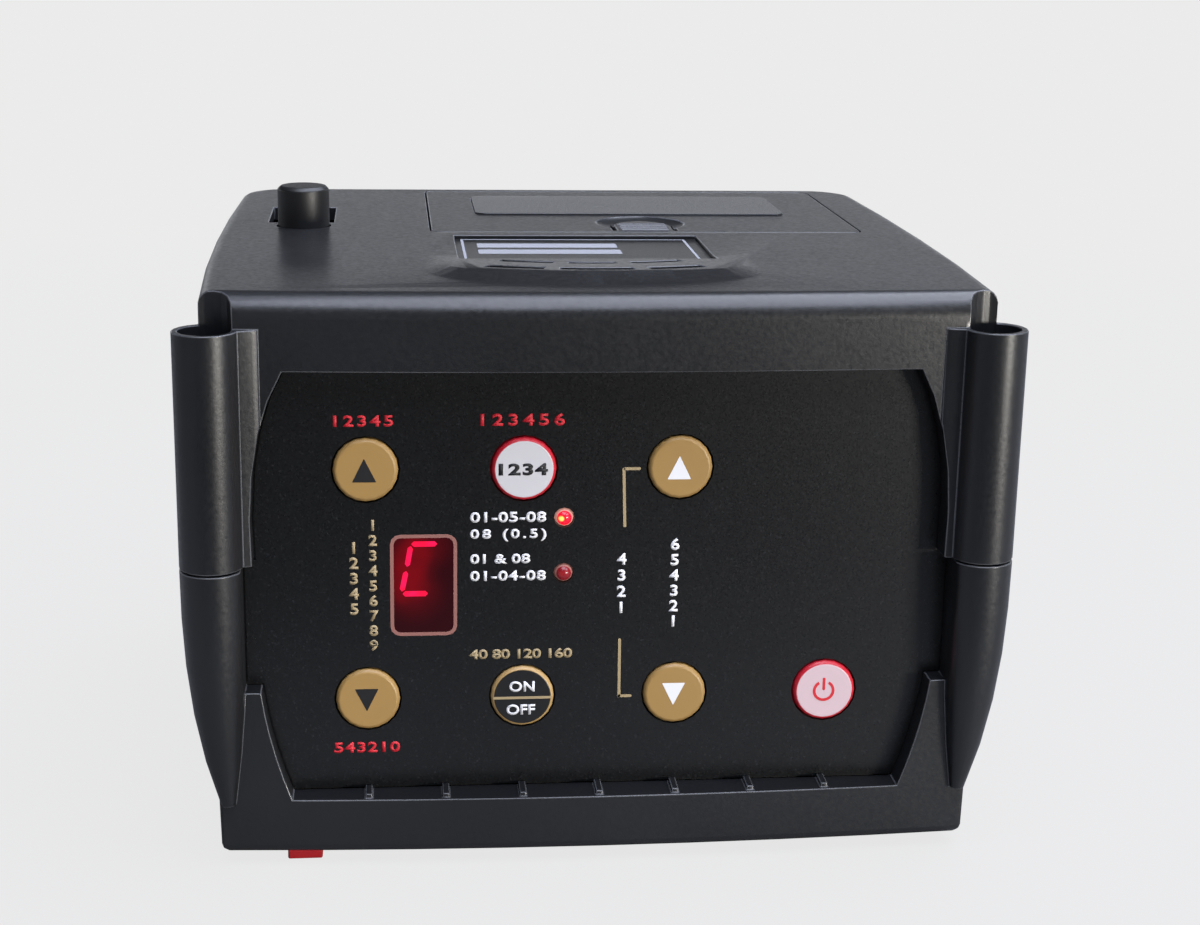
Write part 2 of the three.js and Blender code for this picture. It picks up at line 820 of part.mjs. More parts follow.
function panelSheet(grow, y0, y1) {
  const lower = lowerOpening(grow, seamZ - seamGap / 2);
  return join(plateXZ(upperOpening(grow), y0, y1, sweepSteps), plateXZ(lower, y0, y1, sweepSteps));
}

// Posts on the panel's back carry the control board on heat-staked pins
const postX = column(3) + keyRadius + keyFlange + runGap + standoffRadius;
const boardTop = upperRowZ + boardReach;
const boardBottom = lowerRowZ - boardReach;
const posts = [
  [-postX, boardTop - standoffInset],
  [postX, boardTop - standoffInset],
  [-postX, boardBottom + standoffInset],
  [postX, boardBottom + standoffInset],
];
const boardHalf = postX + standoffInset;

function frontPanel() {
  const front = panelY + overlayThick + seatGap;
  const plate = panelSheet(panelMargin, front, plateBackY);
  const stakes = posts.flatMap(([x, z]) => [
    barY(x, z, plateBackY - rootSink, boardY - seatGap, standoffRadius, smallSides),
    barY(x, z, plateBackY - rootSink, boardY + boardThick + stakeRadius, stakeRadius, smallSides),
  ]);
  return join(cut(plate, ...panelHoles(front - overrun, plateBackY + overrun)), ...stakes);
}

function panelOverlay() {
  const [y0, y1] = [panelY, panelY + overlayThick];
  return cut(panelSheet(-runGap, y0, y1), ...panelHoles(y0 - overrun, y1 + overrun));
}

function controlBoard() {
  const plate = box(-boardHalf, boardHalf, boardY, boardY + boardThick, boardBottom, boardTop);
  const [near, far] = [boardY - overrun, boardY + boardThick + overrun];
  return cut(plate, ...posts.map(([x, z]) => barY(x, z, near, far, stakeRadius + seatGap, smallSides)));
}

const windowFlangeY = plateBackY + seatGap;

function displayWindow() {
  const lens = plateXZ(windowShape(0), panelY, windowFlangeY + sheet);
  return join(lens, plateXZ(windowShape(sheet), windowFlangeY, windowFlangeY + sheet));
}

function displayModule() {
  const near = windowFlangeY + sheet + seatGap;
  return box(windowX - displayWide / 2, windowX + displayWide / 2, near, boardY - seatGap,
    windowZ - displayHigh / 2, windowZ + displayHigh / 2);
}

function lamp(x, z) {
  const tip = panelY - lampRadius / 2;
  const back = tip + lampLength;
  const profile = [];
  for (let i = 0; i <= arcSteps; i += 1) {
    const turn = Math.PI / 2 * i / arcSteps;
    profile.push([lampRadius * Math.sin(turn), tip + lampRadius * (1 - Math.cos(turn))]);
  }
  const rim = lampRadius + sheet / 3;
  profile.push([lampRadius, back - sheet], [rim, back - sheet], [rim, back], [0, back]);
  const bulb = turned(profile, smallSides);
  bulb.translate(x, 0, z);
  const legs = [-1, 1].map((side) => {
    const legX = x + side * (lampRadius - lampLegWide);
    return box(legX - lampLegWide / 2, legX + lampLegWide / 2, back - sheet / 2, boardY - seatGap,
      z - lampLegWide / 2, z + lampLegWide / 2);
  });
  return join(solid(bulb), ...legs);
}

// A key: a round cap with a flange behind the panel and a stem that meets the switch plunger
const flangeY = plateBackY + runGap;
const stemEndY = switchFaceY - plungerReach - seatGap;

function keyCap(x, z) {
  const front = panelY - keyProud;
  const cap = turned([
    [0, front],
    [keyRadius - keyRound, front],
    [keyRadius, front + keyRound],
    [keyRadius, flangeY],
    [keyRadius + keyFlange, flangeY],
    [keyRadius + keyFlange, flangeY + keyFlangeThick],
    [stemRadius, flangeY + keyFlangeThick],
    [stemRadius, stemEndY],
    [0, stemEndY],
  ]);
  cap.translate(x, 0, z);
  return solid(cap);
}

function keySwitch(x, z) {
  const half = switchSide / 2;
  const housing = box(x - half, x + half, switchFaceY, boardY - seatGap, z - half, z + half);
  const depth = plungerReach + keyTravel + runGap;
  return cut(housing, barY(x, z, switchFaceY - overrun, switchFaceY + depth, plungerRadius + seatGap, smallSides));
}

function plunger(x, z) {
  return barY(x, z, stemEndY + seatGap, switchFaceY + plungerReach, plungerRadius, smallSides);
}

// Speaker under the grille
function uprightTurn(profile, x, y, sides = roundSides) {
  const geometry = turned(profile, sides);
  geometry.rotateX(Math.PI / 2);
  geometry.translate(x, y, 0);
  return solid(geometry);
}

const speakerTop = ceilingZ - seatGap;
const coneRim = speakerRadius - speakerFlange;

function speakerBasket() {
  const seat = speakerTop - speakerDepth;
  return uprightTurn([
    [coneRim, speakerTop],
    [coneRim, speakerTop - sheet],
    [magnetRadius - sheet, seat + sheet],
    [stemRadius, seat + sheet],
    [stemRadius, seat],
    [magnetRadius, seat],
    [coneRim + sheet, speakerTop - sheet * 2],
    [speakerRadius, speakerTop - sheet * 2],
    [speakerRadius, speakerTop],
    [coneRim, speakerTop],
  ], 0, frontY + speakerY);
}

function speakerCone() {
  const rim = speakerTop - sheet * 2;
  const bottom = speakerTop - speakerDepth + sheet * 3;
  const dome = magnetRadius / 2;
  const edge = coneRim - sheet * 2;
  return uprightTurn([
    [0, bottom - sheet],
    [dome, bottom - sheet],
    [edge, rim - sheet / 3],
    [edge, rim],
    [edge - sheet, rim],
    ...domeShares.map(([out, up]) => [dome * out, bottom + dome * up]),
  ], 0, frontY + speakerY);
}

function speakerMagnet() {
  const top = speakerTop - speakerDepth - seatGap;
  return barZ(0, frontY + speakerY, top - magnetThick, top, magnetRadius);
}

function namePlate() {
  const [near, far] = [frontY + plateNearY + seatGap, frontY + plateFarY - seatGap];
  const shape = roundedRectangle(0, (near + far) / 2, (plateHalf - seatGap) * 2, far - near, plateThick);
  return plateXY(shape, plateFloorZ + seatGap, plateFloorZ + seatGap + plateThick);
}

// Battery door: seat for a blank label, thumb latch in a U-shaped slit, scoop behind it, tabs at the hinge edge
const doorBottom = topZ - doorThick;

function labelShape(grow) {
  const x = (labelLeft + labelRight) / 2;
  const y = frontY + (labelNearY + labelFarY) / 2;
  const [wide, long] = [labelRight - labelLeft + grow * 2, labelFarY - labelNearY + grow * 2];
  return roundedRectangle(x, y, wide, long, labelCorner + grow);
}

function doorLabel() {
  const low = topZ - labelSunk + seatGap;
  return plateXY(labelShape(0), low, low + labelThick);
}

function latchOutline(grow) {
  const half = latchHalf + grow;
  const near = doorNear - overrun;
  const shape = new THREE.Shape();
  const arcY = doorNear + latchReach - latchHalf;
  shape.moveTo(latchX - half, near);
  shape.lineTo(latchX + half, near);
  shape.absarc(latchX, arcY, half, 0, Math.PI);
  return shape;
}

function latchSlitTool() {
  const root = doorNear + latchSlit * 2;
  const ring = cut(
    plateXY(latchOutline(0), doorBottom - overrun, topZ + overrun, sweepSteps),
    plateXY(latchOutline(-latchSlit), doorBottom - overrun * 2, topZ + overrun * 2, sweepSteps),
  );
  return ring.intersect(box(doorLeft, doorRight, root, doorFar, doorBottom - overrun, topZ + overrun));
}

function latchScoop() {
  const ball = new THREE.SphereGeometry(1, roundSides, smallSides);
  ball.scale(latchHalf + scoopBeyond, scoopReach, scoopDepth);
  ball.translate(latchX, doorNear + latchReach - latchHalf / 2, topZ);
  return cut(solid(ball), plateXY(latchOutline(0), doorBottom, topZ + overrun, sweepSteps));
}

function latchRidge(number) {
  const long = (latchHalf - latchSlit * 2) * 2;
  const bar = new THREE.CylinderGeometry(latchRidgeHigh, latchRidgeHigh, long, smallSides / 2);
  bar.rotateZ(Math.PI / 2);
  bar.translate(latchX, doorNear + latchRidgeStart + number * latchRidgePitch, topZ);
  return solid(bar);
}

function doorTab(x) {
  const half = hingeTabWide / 2;
  const low = ceilingZ - runGap - hingeTabDrop;
  const near = doorFar - hingeTabDrop;
  const hook = box(x - half, x + half, near, doorFar + hingeTabReach, low, ceilingZ - runGap);
  const root = box(x - half, x + half, near, doorFar - runGap, low, doorBottom + rootSink);
  return join(hook, root);
}

function batteryDoor() {
  const plate = plateXY(doorShape(0), doorBottom, topZ);
  const labelSeat = plateXY(labelShape(seatGap), topZ - labelSunk, topZ + overrun);
  const opened = cut(plate, labelSeat, latchScoop(), latchSlitTool());
  const ridges = Array.from({ length: latchRidges }, (_, number) => latchRidge(number));
  const [hookHalf, hookNear] = [latchHalf / 2, bayNear + runGap];
  const hook = box(latchX - hookHalf, latchX + hookHalf, hookNear, hookNear + latchHookThick,
    doorBottom - latchHookDrop, doorBottom + rootSink);
  const tabs = [doorLeft + hingeTabInset, doorRight - hingeTabInset].map(doorTab);
  return join(opened, hook, ...ridges, ...tabs);
}

// Six cells in a back-to-back holder: three on top, three underneath
const holderMiddle = holderFloor + holderHigh / 2;

function batteryHolder() {
  const far = holderNear + holderDeep;
  const end = (side) => {
    const outer = holderX + side * holderHalf;
    const inner = outer - side * holderWall;
    const [x0, x1] = [Math.min(inner, outer), Math.max(inner, outer)];
    return box(x0, x1, holderNear, far, holderFloor, holderFloor + holderHigh);
  };
  const web = box(holderX - holderHalf, holderX + holderHalf, holderNear, far,
    holderMiddle - holderWall / 2, holderMiddle + holderWall / 2);
  return join(web, end(-1), end(1));
}

function cell(number) {
  const row = number % 3;
  const layer = number < 3 ? 1 : -1;
  const facing = (row + (layer > 0 ? 0 : 1)) % 2 ? 1 : -1;
  const total = cellLength + cellNubLength;
  const geometry = turned([
    [0, 0],
    [cellRadius, 0],
    [cellRadius, cellLength],
    [cellNubRadius, cellLength],
    [cellNubRadius, total],
    [0, total],
  ], smallSides);
  geometry.translate(0, -total / 2, 0);
  geometry.rotateZ(-facing * Math.PI / 2);
  const y = holderNear + runGap + cellSpacing * (row + 0.5);
  const z = holderMiddle + layer * (holderWall / 2 + seatGap + cellRadius);
  geometry.translate(holderX, y, z);
  return solid(geometry);
}

// Supply socket, and the plug that stands in it
const plugY = frontY + socketY;

function supplySocket() {
  const half = socketWide / 2;
  const body = box(socketX - half, socketX + half, socketNear, socketFar, socketTop - socketHigh, socketTop);
  const boreEnd = socketTop - barrelLength - runGap;
  const bore = barZ(socketX, plugY, boreEnd, socketTop + overrun, barrelRadius + runGap);
  return cut(body, bore);
}

function supplyPlug() {
  const base = socketTop + seatGap;
  const top = topZ + plugRise;
  return uprightTurn([
    [0, base - barrelLength],
    [barrelRadius, base - barrelLength],
    [barrelRadius, base],
    [plugRadius - plugRound / 2, base],
    [plugRadius, base + plugRound / 2],
    [plugRadius, top - plugRound],
    [plugRadius - plugRound, top],
    [0, top],
  ], socketX, plugY);
}

// Slide selector in the floor, near the front edge
function selectorBody() {
  const low = floorZ + seatGap;
  const half = stemWide / 2 + runGap;
  const [near, far] = [selectorNear + stemDeep - runGap, selectorNear + knobDeep + runGap];
  const body = box(selectorX - half - sheet, selectorX + half + knobTravel + sheet, near - sheet, far + sheet,
    low, low + selectorHigh);
  const track = box(selectorX - half, selectorX + half + knobTravel, near, far,
    low - overrun, low + selectorHigh / 2);
  return cut(body, track);
}

function selectorKnob() {
  const far = selectorNear + knobDeep;
  const head = box(selectorX - knobWide / 2, selectorX + knobWide / 2, selectorNear, far,
    bottomZ - knobProud, bottomZ + pocketHigh - runGap);
  const stem = box(selectorX - stemWide / 2, selectorX + stemWide / 2, selectorNear + stemDeep, far,
    bottomZ, floorZ + seatGap + selectorHigh / 2 - runGap);
  return join(head, stem);
}

function mainBoard() {
  const plate = box(-mainBoardWide / 2, mainBoardWide / 2, boardMiddleY - mainBoardDeep / 2,
    boardMiddleY + mainBoardDeep / 2, mainBoardZ, mainBoardZ + boardThick);
  const [low, high] = [mainBoardZ - overrun, mainBoardZ + boardThick + overrun];
  return cut(plate, ...standoffs.map(([x, y]) => barZ(x, y, low, high, stakeRadius + seatGap, smallSides)));
}

// Leads and the ribbon end on the boards: rings of a round lead follow its route from the main board upwards
const leadFootZ = mainBoardZ + boardThick + seatGap;

function lead(points, across) {
  const route = new THREE.CatmullRomCurve3(points.map((point) => new THREE.Vector3(...point)));
  const steps = (points.length - 1) * leadSteps;
  const sides = smallSides / 2;
  const rings = [];
  for (let i = 0; i <= steps; i += 1) {
    const centre = route.getPoint(i / steps);
    const out = across.clone().cross(route.getTangent(i / steps));
    const ring = [];
    for (let k = 0; k < sides; k += 1) {
      const turn = Math.PI * 2 * k / sides;
      const place = centre.clone().addScaledVector(out, leadRadius * Math.cos(turn));
      place.addScaledVector(across, leadRadius * Math.sin(turn));
      ring.push(place.toArray());
    }
    rings.push(ring);
  }
  return loft(rings);
}

function hangingLead(lowX, highX, y, top) {
  const middle = (lowX + highX) / 2 + leadSlack;
  return lead([
    [lowX, y, leadFootZ],
    [lowX, y, leadFootZ + leadBend],
    [middle, y, (leadFootZ + top) / 2],
    [highX, y, top - leadBend],
    [highX, y, top],
  ], new THREE.Vector3(0, 1, 0));
}

function speakerLead() {
  const x = speakerRadius - (speakerFlange - sheet) / 2;
  return hangingLead(x, x, frontY + speakerY, speakerTop - sheet * 2 - seatGap);
}

function supplyLead() {
  const lowX = supplyLeadInset - mainBoardWide / 2;
  return hangingLead(lowX, socketX, plugY, socketTop - socketHigh - seatGap);
}

function batteryLead() {
  const end = holderNear - seatGap;
  const low = end - holderLeadReach;
  return lead([
    [holderLeadX, low, leadFootZ],
    [holderLeadX, low, leadFootZ + leadBend],
    [holderLeadX, low, holderLeadZ - leadBend],
    [holderLeadX, low + leadSlack, holderLeadZ],
    [holderLeadX, bayNear - bayWall, holderLeadZ],
    [holderLeadX, end, holderLeadZ],
  ], new THREE.Vector3(1, 0, 0));
}

function boardRibbon() {
  const y = boardY + boardThick + seatGap;
  const half = ribbonThick / 2;
  const shape = new THREE.Shape();
  shape.absellipse(y, leadFootZ, ribbonReach + half, ribbonRise + half, 0, Math.PI / 2, false);
  shape.absellipse(y, leadFootZ, ribbonReach - half, ribbonRise - half, Math.PI / 2, 0, true);
  const geometry = extruded(shape, ribbonWide, sweepSteps);
  geometry.rotateX(Math.PI / 2);
  geometry.rotateZ(Math.PI / 2);
  geometry.translate(-ribbonWide / 2, 0, 0);
  return solid(geometry);
}

function foot([x, y]) {
  return barZ(x, y, 0, bottomZ + footSunk - seatGap, footRadius);
}

function screw([x, y]) {
  const head = screwSeatZ - seatGap;
  return uprightTurn([
    [0, head - screwHeadHigh],
    [screwHeadRadius * 0.8, head - screwHeadHigh],
    [screwHeadRadius, head - screwHeadHigh * 0.6],
    [screwHeadRadius, head],
    [screwRadius, head],
    [screwRadius, seamZ + screwBite - screwRadius],
    [0, seamZ + screwBite],
  ], x, y, smallSides);
}

// Finishes
const finish = (color, roughness, metalness = 0) => ({ color, roughness, metalness });
const blackAbs = finish(0x1d1e20, 0.55);
const panelBlack = finish(0x17181a, 0.4);
const tanKey = finish(0xb08d5c, 0.45);
const whiteKey = finish(0xe9eaf2, 0.4);
const blackKey = finish(0x1a1a1c, 0.4);
const redLens = finish(0x4a0508, 0.2);
const redPlastic = finish(0xc8202c, 0.45);
const boardGreen = finish(0x1f5a36, 0.6);
const rubberBlack = finish(0x202020, 0.9);
const steel = finish(0x8d8f92, 0.35, 0.9);
const ferrite = finish(0x3a3a3c, 0.7);
const paper = finish(0x2b2b2b, 0.9);
const cellWrap = finish(0x3c4a5a, 0.35);
const ribbonGrey = finish(0x8a8c8e, 0.5);
const keyFinish = { mode: whiteKey, power: whiteKey, metronome: blackKey };

const shrutiBox = new THREE.Group();

function addPiece(name, body, look) {
  const material = new THREE.MeshStandardMaterial(look);
  material.name = name;
  const mesh = new THREE.Mesh(geometryOf(body), material);
  mesh.name = name;
  shrutiBox.add(mesh);
}

addPiece('upper_shell', upperShell(), blackAbs);
addPiece('lower_shell', lowerShell(), blackAbs);
addPiece('front_panel', frontPanel(), panelBlack);
addPiece('panel_overlay', panelOverlay(), panelBlack);
addPiece('display_window', displayWindow(), redLens);
addPiece('display_module', displayModule(), panelBlack);
addPiece('control_board', controlBoard(), boardGreen);
lamps.forEach(([name, x, z]) => addPiece(name, lamp(x, z), redLens));
keys.forEach(([name, x, z]) => {
  addPiece(`${name}_key`, keyCap(x, z), keyFinish[name] ?? tanKey);
  addPiece(`${name}_plunger`, plunger(x, z), redPlastic);
  addPiece(`${name}_switch`, keySwitch(x, z), panelBlack);
});
addPiece('speaker_basket', speakerBasket(), steel);
addPiece('speaker_cone', speakerCone(), paper);
addPiece('speaker_magnet', speakerMagnet(), ferrite);
addPiece('name_plate', namePlate(), panelBlack);
addPiece('battery_door', batteryDoor(), blackAbs);
addPiece('door_label', doorLabel(), panelBlack);
addPiece('battery_holder', batteryHolder(), panelBlack);
Array.from({ length: 6 }, (_, number) => addPiece(`cell_${number + 1}`, cell(number), cellWrap));
addPiece('supply_socket', supplySocket(), panelBlack);
addPiece('supply_plug', supplyPlug(), rubberBlack);
addPiece('selector_body', selectorBody(), steel);
addPiece('selector_knob', selectorKnob(), redPlastic);
addPiece('main_board', mainBoard(), boardGreen);
addPiece('board_ribbon', boardRibbon(), ribbonGrey);
addPiece('speaker_lead', speakerLead(), panelBlack);
addPiece('battery_lead', batteryLead(), panelBlack);
addPiece('supply_lead', supplyLead(), panelBlack);
feet.forEach((place, number) => addPiece(`foot_${number + 1}`, foot(place), rubberBlack));
bosses.forEach((place, number) => addPiece(`case_screw_${number + 1}`, screw(place), steel));

export default shrutiBox;
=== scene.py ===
# %% [markdown]
# # An electronic shruti box, dressed for its portrait
# A shruti box holds a steady drone for a singer. This one is electronic: a black moulded housing, about
# 128 mm wide, with round keys and a lit digit in front, and a loudspeaker grille and a battery door on
# top. The solids come from the CAD model and are never moved here. This lesson gives each of them its
# real surface, rounds the edges that a mould would round, and adds the print, the lit segments and the
# small metal parts that CAD leaves out.

import math

import bpy
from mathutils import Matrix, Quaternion, Vector


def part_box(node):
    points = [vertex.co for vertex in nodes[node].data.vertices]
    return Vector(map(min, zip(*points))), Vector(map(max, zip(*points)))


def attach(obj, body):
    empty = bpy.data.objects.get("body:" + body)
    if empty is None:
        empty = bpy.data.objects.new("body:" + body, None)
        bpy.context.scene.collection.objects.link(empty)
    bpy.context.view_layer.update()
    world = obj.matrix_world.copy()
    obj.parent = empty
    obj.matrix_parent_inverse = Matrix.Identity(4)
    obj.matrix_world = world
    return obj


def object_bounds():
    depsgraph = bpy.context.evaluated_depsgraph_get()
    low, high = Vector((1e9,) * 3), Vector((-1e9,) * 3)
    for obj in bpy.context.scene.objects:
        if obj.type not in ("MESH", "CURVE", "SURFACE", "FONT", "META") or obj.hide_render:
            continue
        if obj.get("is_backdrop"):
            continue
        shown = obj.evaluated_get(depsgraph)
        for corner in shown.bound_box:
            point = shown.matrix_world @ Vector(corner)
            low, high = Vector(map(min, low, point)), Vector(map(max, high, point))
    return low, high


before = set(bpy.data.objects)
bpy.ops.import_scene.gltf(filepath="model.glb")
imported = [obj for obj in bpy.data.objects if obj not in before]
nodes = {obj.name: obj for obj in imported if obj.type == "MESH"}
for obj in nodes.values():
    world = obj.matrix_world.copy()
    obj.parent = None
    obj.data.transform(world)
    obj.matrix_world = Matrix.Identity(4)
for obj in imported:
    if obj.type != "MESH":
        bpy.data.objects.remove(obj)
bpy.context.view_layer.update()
MM = 0.001

# %% [markdown]
# ## The camera
# A product shot is taken from a chosen place with a chosen lens. The photograph's place was worked out
# from the square grid of the keys, so the camera here gets that place in millimetres and three angles:
# how far it looks down, its small roll, and its turn to the right. The focal length is known in pixels,
# and the sensor is 36 mm wide.

# %% Camera
PHOTO_WIDE, PHOTO_HIGH = 1200, 925
FOCAL_PIXELS = 2081
SENSOR_WIDE = 36.0
CAMERA_PLACE = Vector((-32.3, -356.6, 146.9)) * MM
CAMERA_TILT, CAMERA_ROLL, CAMERA_TURN = 74.87, -1.005, -5.70

camera_data = bpy.data.cameras.new("portrait_camera")
camera_data.sensor_fit = "HORIZONTAL"
camera_data.sensor_width = SENSOR_WIDE
camera_data.lens = FOCAL_PIXELS / PHOTO_WIDE * SENSOR_WIDE
camera_data.clip_start, camera_data.clip_end = 0.01, 20
camera = bpy.data.objects.new("portrait_camera", camera_data)
camera.location = CAMERA_PLACE
camera.rotation_euler = [math.radians(angle) for angle in (CAMERA_TILT, CAMERA_ROLL, CAMERA_TURN)]
bpy.context.scene.collection.objects.link(camera)
bpy.context.scene.camera = camera
print("lens in mm:", round(camera_data.lens, 2), "frame:", PHOTO_WIDE, "by", PHOTO_HIGH)

# %% [markdown]
# ## Colour and nodes
# Colours are picked as sRGB hex values, as a paint chart gives them, but shaders add and multiply light,
# so each value is turned to linear once, here. Two small helpers keep the materials short: one adds any
# node with its settings, links and ramp stops, and one starts a material with its shader. Nearly all of a
# noise lies between 0.3 and 0.7, so those are the ends that the patterns stretch.

# %% Helpers for colours and nodes
NOISE_LOW, NOISE_HIGH = 0.3, 0.7
NONE, FULL = (0, 0, 0, 1), (1, 1, 1, 1)


def linear(hex_colour, strength=1.0):
    """An sRGB hex value such as "#1d1e20" as the linear colour that a shader expects."""
    channels = [int(hex_colour[at : at + 2], 16) / 255 for at in (1, 3, 5)]
    bent = [c / 12.92 if c <= 0.04045 else ((c + 0.055) / 1.055) ** 2.4 for c in channels]
    return (*[c * strength for c in bent], 1.0)


def add_node(tree, kind, inputs=None, stops=None, **settings):
    """Adds a node with its settings, gives each named socket a value or a link, and sets a ramp's stops."""
    made = tree.nodes.new(kind)
    for name, value in settings.items():
        setattr(made, name, value)
    for name, value in (inputs or {}).items():
        if isinstance(value, bpy.types.NodeSocket):
            tree.links.new(value, made.inputs[name])
        else:
            made.inputs[name].default_value = value
    if stops:
        while len(made.color_ramp.elements) < len(stops):
            made.color_ramp.elements.new(0.5)
        for element, (position, colour) in zip(made.color_ramp.elements, stops):
            element.position = position
            element.color = colour
    return made


def start_material(name):
    """An empty node material, with its shader and the coordinates in metres that its patterns read."""
    material = bpy.data.materials.new(name)
    material.use_nodes = True
    tree = material.node_tree
    tree.nodes.clear()
    shader = add_node(tree, "ShaderNodeBsdfPrincipled")
    add_node(tree, "ShaderNodeOutputMaterial", {"Surface": shader.outputs["BSDF"]})
    place = add_node(tree, "ShaderNodeTexCoord").outputs["Object"]
    return material, tree, shader, place


# %% [markdown]
# ## The floor
# Black plastic has almost no colour of its own, so what is seen is the studio mirrored in it. The camera
# sees the floor as pale paper, a little darker round the box, where its shadow lies. Every other ray sees
# grey cloth with a painted shadow on it, a dark patch about where a photographer's shadow would fall: the
# panel mirrors that painted shadow, so it stays near black, and pales towards the right and the foot.
# Light Path tells the two kinds of ray apart.

# %% Floor
PAPER_COLOUR = "#ebebeb"
PAPER_DIFFUSE = "#b4b4b4"
CLOTH_IN_PAINTED_SHADOW, CLOTH_PALE = "#222222", "#868686"
FLOOR_HALF = 4.0
PAINTED_SHADOW_MIDDLE = (-0.04, -0.36, 0.0)
PATCH_FROM, PATCH_TO = 0.12, 0.3
SHADOW_FROM, SHADOW_TO = 0.15, 0.6
GLOW_IN_SHADOW = 0.93


def stage_material():
    """Paper that the camera sees pale and even, with a soft shadow, and that other rays see as grey cloth
    with a painted shadow.
    """
    material, tree, shader, place = start_material("studio_paper")
    shader.inputs["Roughness"].default_value = 1.0
    shader.inputs["Specular IOR Level"].default_value = 0.0
    glow = add_node(tree, "ShaderNodeEmission", {"Color": linear(PAPER_COLOUR), "Strength": 1.0})
    seen = add_node(tree, "ShaderNodeLightPath").outputs["Is Camera Ray"]
    # The cloth darkens towards a painted shadow, about where a photographer would stand.
    from_painted_shadow = add_node(tree, "ShaderNodeVectorMath", {0: place, 1: PAINTED_SHADOW_MIDDLE}, operation="DISTANCE")
    beyond = add_node(
        tree,
        "ShaderNodeMapRange",
        {"Value": from_painted_shadow.outputs["Value"], "From Min": PATCH_FROM, "From Max": PATCH_TO},
        interpolation_type="SMOOTHSTEP",
    )
    cloth = add_node(
        tree,
        "ShaderNodeValToRGB",
        {"Fac": beyond.outputs["Result"]},
        stops=[(0.0, linear(CLOTH_IN_PAINTED_SHADOW)), (1.0, linear(CLOTH_PALE))],
    )
    tone = add_node(
        tree,
        "ShaderNodeMix",
        {0: seen, 6: cloth.outputs["Color"], 7: linear(PAPER_DIFFUSE)},
        data_type="RGBA",
    )
    tree.links.new(tone.outputs[2], shader.inputs["Base Color"])
    from_middle = add_node(tree, "ShaderNodeVectorMath", {0: place}, operation="LENGTH")
    even = add_node(
        tree,
        "ShaderNodeMapRange",
        {"Value": from_middle.outputs["Value"], "From Min": SHADOW_FROM, "From Max": SHADOW_TO,
         "To Min": GLOW_IN_SHADOW, "To Max": 1.0},
    )
    share = add_node(tree, "ShaderNodeMath", {0: seen, 1: even.outputs["Result"]}, operation="MULTIPLY")
    mixed = add_node(
        tree,
        "ShaderNodeMixShader",
        {0: share.outputs[0], 1: shader.outputs["BSDF"], 2: glow.outputs["Emission"]},
    )
    output = next(item for item in tree.nodes if item.type == "OUTPUT_MATERIAL")
    tree.links.new(mixed.outputs["Shader"], output.inputs["Surface"])
    return material


bpy.ops.object.select_all(action="DESELECT")
bpy.ops.mesh.primitive_plane_add(size=FLOOR_HALF * 2, location=(0, 0, 0))
studio_floor = bpy.context.object
studio_floor.name = "studio_floor"
studio_floor.data.materials.append(stage_material())
studio_floor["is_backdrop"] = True
print("floor:", FLOOR_HALF * 2, "m square")

# %% [markdown]
# ## The softboxes
# A glossy edge shows a lamp as a line, so each lamp is placed for the line that it draws. A wide softbox
# overhead draws the bright line along the rounded front edge, a smaller one in front widens that line at
# the right, and a low one at the right draws the upright lines on the sleeves.

# %% Softboxes
COOL_LIGHT, WARM_LIGHT = "#e6ecff", "#fffaf0"


def softbox(name, place, size, power, colour, turn=0.0, aim=(0, 0, 0.05)):
    """A rectangular area lamp at a place in metres that faces the box, turned in degrees about its middle."""
    lamp = bpy.data.lights.new(name, "AREA")
    lamp.shape = "RECTANGLE"
    lamp.size, lamp.size_y = size
    lamp.energy = power
    lamp.color = linear(colour)[:3]
    made = bpy.data.objects.new(name, lamp)
    made.location = place
    facing = (Vector(aim) - Vector(place)).to_track_quat("-Z", "Y")
    made.rotation_euler = (facing @ Quaternion((0, 0, 1), math.radians(turn))).to_euler()
    bpy.context.scene.collection.objects.link(made)
    return made


softboxes = [
    softbox("overhead_softbox", (0.22, -0.09, 1.0), (1.7, 0.8), 30.0, COOL_LIGHT, turn=-10),
    softbox("front_softbox", (0.78, -0.6, 0.85), (0.5, 0.35), 4.8, COOL_LIGHT),
    softbox("right_softbox", (0.8, -0.92, 0.055), (0.3, 0.08), 12.0, WARM_LIGHT),
]
print("softboxes:", [(made.name, made.data.energy) for made in softboxes])

# %% [markdown]
# ## The backdrop
# The camera sees plain paper all round. Mirrored in the box, the world is a pale band low behind it,
# which the top mirrors at a grazing angle, so that it turns mid grey. In front of the box the band is
# five times dimmer, and everything above the band is dim.

# %% World
SKY_COLOUR = "#f4f6fb"
BAND_TOP = 10.3
BAND_SOFT = 0.012
BAND_STRENGTH = 1.2
FRONT_DIMMER = 5
FRONT_FROM, BEHIND_FROM = -0.3, 0.3
DIM_SKY = 0.06

world = bpy.data.worlds.new("studio_world")
world.use_nodes = True
sky_tree = world.node_tree
sky_tree.nodes.clear()
facing = add_node(sky_tree, "ShaderNodeTexCoord").outputs["Generated"]
looking = add_node(sky_tree, "ShaderNodeSeparateXYZ", {0: facing})
behind = add_node(
    sky_tree,
    "ShaderNodeMapRange",
    {"Value": looking.outputs["Y"], "From Min": FRONT_FROM, "From Max": BEHIND_FROM,
     "To Min": BAND_STRENGTH / FRONT_DIMMER, "To Max": BAND_STRENGTH},
)
edge = math.sin(math.radians(BAND_TOP))
band = add_node(
    sky_tree,
    "ShaderNodeMapRange",
    {"Value": looking.outputs["Z"], "From Min": edge - BAND_SOFT, "From Max": edge + BAND_SOFT,
     "To Min": behind.outputs["Result"], "To Max": DIM_SKY},
)
mirrored = add_node(
    sky_tree, "ShaderNodeBackground", {"Color": linear(SKY_COLOUR), "Strength": band.outputs["Result"]}
)
paper = add_node(sky_tree, "ShaderNodeBackground", {"Color": linear(PAPER_COLOUR), "Strength": 1.0})
seen = add_node(sky_tree, "ShaderNodeLightPath").outputs["Is Camera Ray"]
